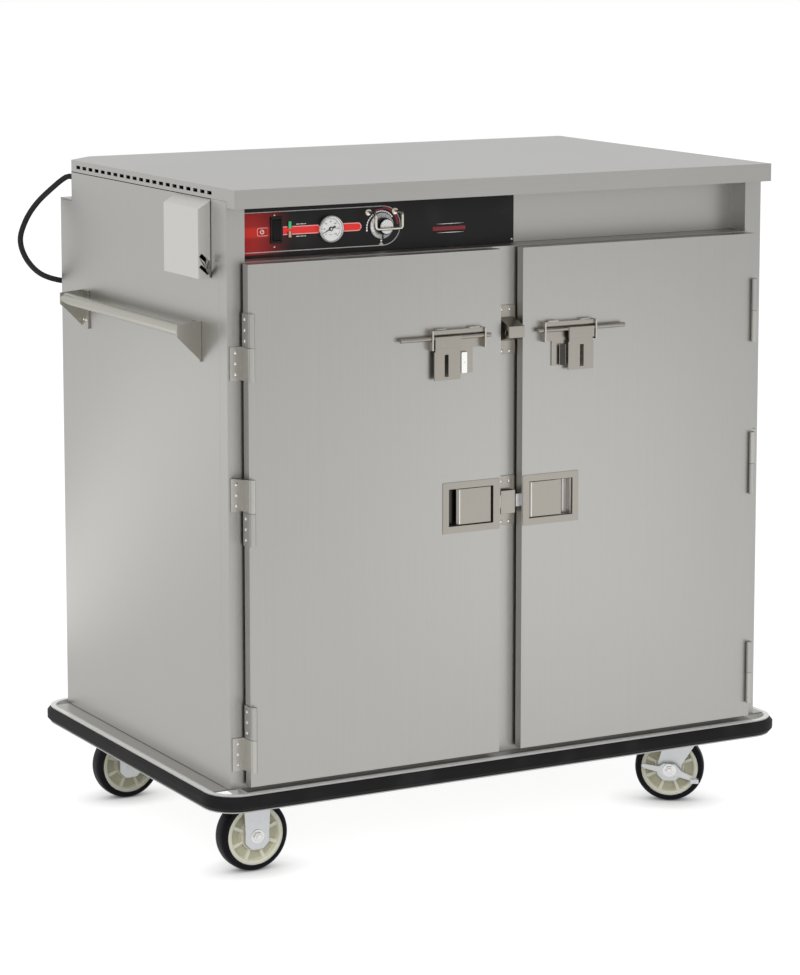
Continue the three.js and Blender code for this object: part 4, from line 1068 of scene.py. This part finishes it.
class CART_OT_knob(bpy.types.Operator):
    """Make the thermostat knob and its wire guard"""

    bl_idname = "meal_cart.knob"
    bl_label = "Thermostat Knob"

    def execute(self, context):
        matrix = front_matrix(KNOB_X, PANEL_FACE - 0.3, PANEL_Z)
        self.knob(matrix)
        self.guard(matrix)
        return {"FINISHED"}

    def knob(self, matrix):
        """A bright skirt, a fluted black grip, a bright cap and a black pointer line."""
        bm = bmesh.new()
        skirt = [(0, 0), (23.2, 0), (23.9, 0.6), (23.9, 2.4), (22.9, 3.3), (18.8, 4.8),
                 (17.8, 4.2), (0, 4.2)]
        add_lathe(bm, skirt, matrix, 64)
        rings = []
        for radius, height in ((15.4, 4), (15.2, 12), (14.6, 19.8), (13.8, 20.8)):
            outline = []
            for angle in range(0, 360, 3):
                flute = 0.35 * math.cos(math.radians(KNOB_FLUTES * angle))
                outline.append(polar(radius + flute, angle))
            rings.append(add_ring(bm, matrix, outline, height))
        join_rings(bm, rings, 1)
        bm.faces.new(rings[-1]).material_index = 1
        add_lathe(bm, [(13.4, 20.2), (13.4, 21.4), (12.6, 22.1), (0, 22.3)], matrix, 48)
        line = [(-1.4, -22.5), (1.4, -22.5), (0.8, -15.6), (-0.8, -15.6)]
        add_prism(bm, line, 4.6, shifted(matrix, z=1.6), 1)
        finish_mesh(bm, "control_knob", "thermostat_knob", "knob_metal rocker",
                    "thermostat_knob")

    def guard(self, matrix):
        """A bent wire bail on two round washers."""
        half, up, down, out = 27.5, 26.0, -3.0, GUARD_OUT
        corners = [(-half, up, 0.4), (-half, up, out), (-half, down, out),
                   (half, down, out), (half, up, out), (half, up, 0.4)]
        path = [matrix @ p for p in bent([Vector(c) for c in corners], 6.0)]
        tube_curve("knob_guard_wire", path, GUARD_WIRE, "polished", "polished", "knob_guard")
        bm = bmesh.new()
        washer = [(2.2, 0.1), (6.1, 0.1), (6.3, 0.5), (6.1, 1.5), (4.4, 2.0), (2.2, 2.0)]
        for x in (-half, half):
            add_lathe(bm, washer, shifted(matrix, x, up), 32, closed=True)
        finish_mesh(bm, "knob_guard_washers", "cart", "polished")


# ---- recessed latches

# Boxes on the right door, as low x, high x, low z and high z.
LATCH_FRAME = (25.0, 146.8, 619.0, 715.0)
LATCH_RECESS = (38.5, 134.5, 631.5, 702.5)
LATCH_DEPTH = 16.0
PADDLE_LEFT = {"left": -110.4, "right": 44.6}
PADDLE_Z = (634.4, 699.6)


class CART_OT_latches(bpy.types.Operator):
    """Make the frames, pans and outlines of the recessed latches"""

    bl_idname = "meal_cart.latches"
    bl_label = "Latch Frames"

    def execute(self, context):
        for name, side in SIDES:
            self.frame_plate(name, side)
            self.pan(name, side)
            self.outline(name, side)
        return {"FINISHED"}

    def frame_plate(self, name, side):
        bm = bmesh.new()
        outer = side_rect(side, LATCH_FRAME, 0, 1.2, 3)
        inner = side_rect(side, LATCH_RECESS, 0.5, 1.0, 3)
        add_frame(bm, outer, inner, 1.3, front_matrix(0, DOOR_FACE, 0))
        finish_mesh(bm, f"{name}_latch_frame", f"{name}_door", "satin", bevel=0.0004)

    def pan(self, name, side):
        """Thin walls and a floor that line the recess, open where the tongue slides."""
        bm = bmesh.new()
        outer = side_rect(side, LATCH_RECESS, 0.1, 0.6, 2)
        inner = side_rect(side, LATCH_RECESS, 0.7, 0.6, 2)
        matrix = front_matrix(0, DOOR_FACE, 0)
        add_frame(bm, outer, inner, 9.4, shifted(matrix, z=-9.2))
        x0, x1, z0, z1 = LATCH_RECESS
        floor = side_rect(side, (x0 + 16, x1 - 0.2, z0 + 0.2, z1 - 0.2), 0, 0.6, 2)
        add_prism(bm, floor, 0.8, shifted(matrix, z=-LATCH_DEPTH + 0.05))
        # The left pan's finish is painted shade, and the right pan's is a painted highlight.
        finish_mesh(bm, f"{name}_latch_pan", f"{name}_door", f"{name}_pan")

    def outline(self, name, side):
        """Painted shade as a dark line round the recess, and a painted highlight along the paddle's
        edge.
        """
        bm = bmesh.new()
        loops = [side_rect(side, LATCH_RECESS, inset, 0.6, 2) for inset in (0.7, 1.6)]
        add_frame(bm, *loops, 0.8, front_matrix(0, DOOR_FACE + 2.4, 0))
        finish_mesh(bm, f"{name}_latch_outline", f"{name}_door", "seam")
        bm = bmesh.new()
        left = PADDLE_LEFT[name]
        edge = rounded_rect(left, left + 1.7, *PADDLE_Z, 0.6, 2)
        add_prism(bm, edge, 0.5, front_matrix(0, DOOR_FACE + 2.1, 0))
        finish_mesh(bm, f"{name}_paddle_edge", f"{name}_paddle", "edge")


# ---- rivets

HINGE_Z = (279.5, 695.5, 994.5)
RIVET_STEP = (11.0, 30.5, 50.0)
# x and y of the rivets on each leaf of a hinge.
POST_LEAF = (558.0, -375.7)
DOOR_LEAF = (546.4, -389.0)
# Half the mullion rivets' spacing, their face, and their heights on the strike and keeper.
MULLION_X = 8.5
MULLION_FACE = -375.3
MULLION_Z = (702.5, 626.3, 1026.5, 949.0)
HANDLE_FACE = 577.3
HANDLE_END = 268.0
HANDLE_Z = (972, 1012)


class CART_OT_rivets(bpy.types.Operator):
    """Set the rivets of the hinges, strike, keeper and handles"""

    bl_idname = "meal_cart.rivets"
    bl_label = "Rivets"

    def execute(self, context):
        for name, side in SIDES:
            self.hinges(name, side)
        self.mullion()
        self.handles()
        return {"FINISHED"}

    def hinges(self, name, side):
        """Three in each leaf, above or below the knuckle: the middle hinge is the other way up."""
        posts, leaves = bmesh.new(), bmesh.new()
        post_x, post_y = POST_LEAF
        door_x, door_y = DOOR_LEAF
        for i, centre in enumerate(HINGE_Z):
            way = 1 if i == 1 else -1
            for step in RIVET_STEP:
                add_rivet(posts, (side * post_x, post_y, centre + way * step), FRONT, 3.1)
                add_rivet(leaves, (side * door_x, door_y, centre - way * step), (side, 0, 0), 3.1)
        for bm, part, body in ((posts, "post", "cart"), (leaves, "door", f"{name}_door")):
            finish_mesh(bm, f"{name}_{part}_hinge_rivets", body, "screw")

    def mullion(self):
        bm = bmesh.new()
        for x in (-MULLION_X, MULLION_X):
            for z in MULLION_Z:
                add_rivet(bm, (x, MULLION_FACE, z), FRONT, 3.3)
        finish_mesh(bm, "mullion_rivets", "cart", "screw")

    def handles(self):
        bm = bmesh.new()
        for side in (-1, 1):
            for end in (-1, 1):
                for step in (12, 24):
                    for z in HANDLE_Z:
                        at = (side * HANDLE_FACE, end * (HANDLE_END - step), z)
                        add_rivet(bm, at, (side, 0, 0), 3.0)
        finish_mesh(bm, "handle_rivets", "cart", "screw")


# ---- painted seam shade, painted bumper edge highlight and bolts

SKIRT_Z = 1254.5
SEAM_BACK = {"left": 317, "right": 373}
LOUVRE_Y = -309.0
LOUVRE_Z = 1111.0
# Half the bumper's width and depth, and the radius of its corners.
BUMPER = (621.0, 418.0, 66.0)
CHANNEL_Z = 181.5

GUIDE_X = (63.0, 177.0)
GUIDE_Z = (965.0, 1002.0)
GUIDE_FACE = -413.3
HUMP_FRONT = -401.0
BRACKET_X = (99.0, 113.0)
BRACKET_Z = (919.0, 958.0)
BRACKET_FACE = -406.8


class CART_OT_trim(bpy.types.Operator):
    """Draw painted shade along the seams of the side walls, and a painted highlight on the edge of
    the bumper's channel
    """

    bl_idname = "meal_cart.trim"
    bl_label = "Seams and Edges"

    def execute(self, context):
        for name, side in SIDES:
            self.seam(name, side)
        half_x, half_y, radius = BUMPER
        outlines = []
        for inset in (7.3, 16.8):
            x, y = half_x - inset, half_y - inset
            outlines.append(rounded_rect(-x, x, -y, y, radius - inset, 12))
        # A bright ring on the channel's lip: a painted highlight.
        bm = bmesh.new()
        level = Matrix.Translation((0, 0, CHANNEL_Z * MM)) @ Matrix.Scale(MM, 4)
        add_frame(bm, *outlines, 0.3, level)
        finish_mesh(bm, "bumper_channel_edge", "cart", "edge")
        return {"FINISHED"}

    def seam(self, name, side):
        """Painted shade: a dark line under the roof's skirt, and on the left down beside the louvre
        box.
        """
        bm = bmesh.new()
        x = side * (HALF_W + 0.1)
        strips = [(LOUVRE_Y - 2, SEAM_BACK[name], SKIRT_Z - 1.5, SKIRT_Z + 0.1)]
        if side < 0:
            strips.append((LOUVRE_Y - 2, LOUVRE_Y - 0.6, LOUVRE_Z, SKIRT_Z))
        turn = Matrix(((0, 0, 1, x), (1, 0, 0, 0), (0, 1, 0, 0), (0, 0, 0, 1)))
        for y0, y1, z0, z1 in strips:
            corners = [(y0, z0), (y1, z0), (y1, z1), (y0, z1)]
            add_prism(bm, corners, -0.4 * side, Matrix.Scale(MM, 4) @ turn)
        finish_mesh(bm, f"{name}_skirt_gap_shade", "cart", "seam")


class CART_OT_bolts(bpy.types.Operator):
    """Add the edges, humps and strips of the slide bolts"""

    bl_idname = "meal_cart.bolts"
    bl_label = "Slide Bolts"

    def execute(self, context):
        for name, side in SIDES:
            self.guide(name, side)
            self.strip(name, side)
        return {"FINISHED"}

    def guide(self, name, side):
        """The edges of the guide's two ends, and the humps on its top."""
        bm = bmesh.new()
        for x in (GUIDE_X[0], GUIDE_X[1] - 3):
            edge = side_rect(side, (x - 0.2, x + 3.2, *GUIDE_Z), 0, 1.2, 3)
            add_prism(bm, edge, 0.5, front_matrix(0, GUIDE_FACE, 0))
        for x in (GUIDE_X[0] + 10, GUIDE_X[1] - 34):
            hump = [(x, 0), (x + 24, 0), (x + 21, 2.4), (x + 3, 2.4)]
            hump = [(side * a, b) for a, b in hump]
            add_prism(bm, hump, 8.0, front_matrix(0, HUMP_FRONT, GUIDE_Z[1] - 0.2))
        finish_mesh(bm, f"{name}_bolt_trim", f"{name}_door", "hinge", bevel=0.0003)

    def strip(self, name, side):
        """A strip and its rivet beside the tab: bright steel on the left door, and on the right the
        dark latch-pan finish as painted shade.
        """
        bm = bmesh.new()
        box = side_rect(side, (BRACKET_X[0] + 1, BRACKET_X[1] - 1, *BRACKET_Z), 0, 2.0, 3)
        add_prism(bm, box, 0.6, front_matrix(0, BRACKET_FACE, 0))
        middle = (side * sum(BRACKET_X) / 2, BRACKET_FACE - 0.15, sum(BRACKET_Z) / 2)
        add_rivet(bm, middle, FRONT, 1.7)
        # The right strip's dark finish is painted shade.
        finish = "screw" if side < 0 else "left_pan"
        finish_mesh(bm, f"{name}_bolt_strip", f"{name}_door", finish, bevel=0.0003)


# ---- caster wheels

WHEEL_R = 68.5
CASTER_X = 487.0
CASTER_Y = 283.0
TRAIL = 41.0
SWIVEL_TURN = {"front": 34.4, "rear": -14.0}
LEVER_OUT = 37.3
PLATE_OUT = 26.0
RIB_TURN = 0.38
HALF_TREAD = [
    (56.2, 18.0), (58, 19.0), (61.5, 19.0), (64.6, 17.2), (66.9, 14.0), (68.1, 9.5), (68.5, 4.5),
]
HALF_HUB = [
    (5.5, 20.0), (12.5, 20.0), (13.5, 19), (14, 14.5), (25, 13.5), (25.8, 16.6), (28.6, 17.0),
    (30, 8.2), (45.8, 7.2), (47.6, 15.8), (48.6, 17.8), (50.2, 18.7), (54.8, 18.7), (56.2, 17.6),
]


class CART_OT_wheels(bpy.types.Operator):
    """Make the four wheels and their axle nuts: rubber tread on a ribbed cream hub"""

    bl_idname = "meal_cart.wheels"
    bl_label = "Wheels"

    def execute(self, context):
        ribs = context.scene.cart_detail.hub_ribs
        for end, y in (("front", -CASTER_Y), ("rear", CASTER_Y)):
            self.wheel(f"rigid_wheel_{end}", (-CASTER_X, y, WHEEL_R), FRONT, ribs)
            a = math.radians(SWIVEL_TURN[end])
            at = (CASTER_X - TRAIL * math.cos(a), y + TRAIL * math.sin(a), WHEEL_R)
            axle = Vector((-math.sin(a), -math.cos(a), 0))
            self.wheel(f"swivel_wheel_{end}", at, axle, ribs)
            bm = bmesh.new()
            self.nut(bm, Vector(at) + axle * LEVER_OUT, axle)
            finish_mesh(bm, f"brake_nut_{end}", f"brake_lever_{end}", "screw", smooth=25)
        bm = bmesh.new()
        for way in (-1, 1):
            self.nut(bm, (-CASTER_X, way * (CASTER_Y + PLATE_OUT), WHEEL_R), (0, way, 0))
        finish_mesh(bm, "caster_axle_nuts", "cart", "screw", smooth=25)
        return {"FINISHED"}

    def nut(self, bm, at, way):
        """A washer and a domed nut on an axle's end."""
        matrix = facing(way, at)
        add_lathe(bm, [(0, 0.1), (13.5, 0.1), (13.5, 1.0), (12.8, 1.4), (0, 1.4)], matrix, 32)
        dome = [(0, 1.2), (9.6, 1.2), (9.6, 5.4), (8.6, 6.0), (6.4, 6.2), (5.2, 7.6), (0, 8.2)]
        add_lathe(bm, dome, matrix, 6)

    def wheel(self, name, at, axle, ribs):
        """A tread, and a hub with ribs on both faces and a web between them in a darker copy of the
        hub's finish, as painted shade.
        """
        matrix = facing(axle, at)
        bm = bmesh.new()
        add_lathe(bm, mirrored(HALF_TREAD), matrix, 96, closed=True)
        finish_mesh(bm, f"{name}_tread", name, "tread", name, smooth=50)
        bm = bmesh.new()
        add_lathe(bm, mirrored(HALF_HUB), matrix, 96, closed=True)
        outline = [(28.4, -2.6), (48.2, -3.6), (48.2, 3.6), (28.4, 2.6)]
        for i in range(ribs):
            spin = matrix @ Matrix.Rotation(2 * math.pi * i / ribs + RIB_TURN, 4, "Z")
            for z in (6, -15.2):
                add_prism(bm, outline, 9.2, shifted(spin, z=z))
        # The web takes the second finish, a darker copy of the hub's: painted shade in the recess.
        for z in (8.2, -7.8):
            web = [(29.8, z + 0.4), (46.0, z + 0.4), (46.0, z - 0.8), (29.8, z - 0.8)]
            add_lathe(bm, web, matrix, 96, 1, closed=True)
        finish_mesh(bm, f"{name}_hub", name, "hub hub_shade", smooth=40)


# ---- panel in the sidebar

OPERATORS = (
    CART_OT_finishes, CART_OT_stage, CART_OT_cord, CART_OT_cabinet, CART_OT_control_print,
    CART_OT_gauge, CART_OT_knob, CART_OT_latches, CART_OT_rivets, CART_OT_trim, CART_OT_bolts,
    CART_OT_wheels,
)


class CART_PT_sidebar(bpy.types.Panel):
    """Lists the cart's settings and steps"""

    bl_label = "Meal Cart"
    bl_idname = "CART_PT_sidebar"
    bl_space_type = "VIEW_3D"
    bl_region_type = "UI"
    bl_category = "Meal Cart"

    def draw(self, context):
        layout = self.layout
        for settings in (context.scene.cart_finish, context.scene.cart_detail):
            for name in settings.bl_rna.properties.keys():
                if name not in ("rna_type", "name"):
                    layout.prop(settings, name)
        for step in OPERATORS:
            layout.operator(step.bl_idname)


CLASSES = (CartFinish, CartDetail, *OPERATORS, CART_PT_sidebar)


def register():
    for cls in CLASSES:
        bpy.utils.register_class(cls)
    bpy.types.Scene.cart_finish = PointerProperty(type=CartFinish)
    bpy.types.Scene.cart_detail = PointerProperty(type=CartDetail)


def unregister():
    del bpy.types.Scene.cart_detail
    del bpy.types.Scene.cart_finish
    for cls in reversed(CLASSES):
        bpy.utils.unregister_class(cls)


def main():
    register()
    for step in OPERATORS:
        getattr(bpy.ops.meal_cart, step.bl_idname.partition(".")[2])()


if __name__ == "__main__":
    main()
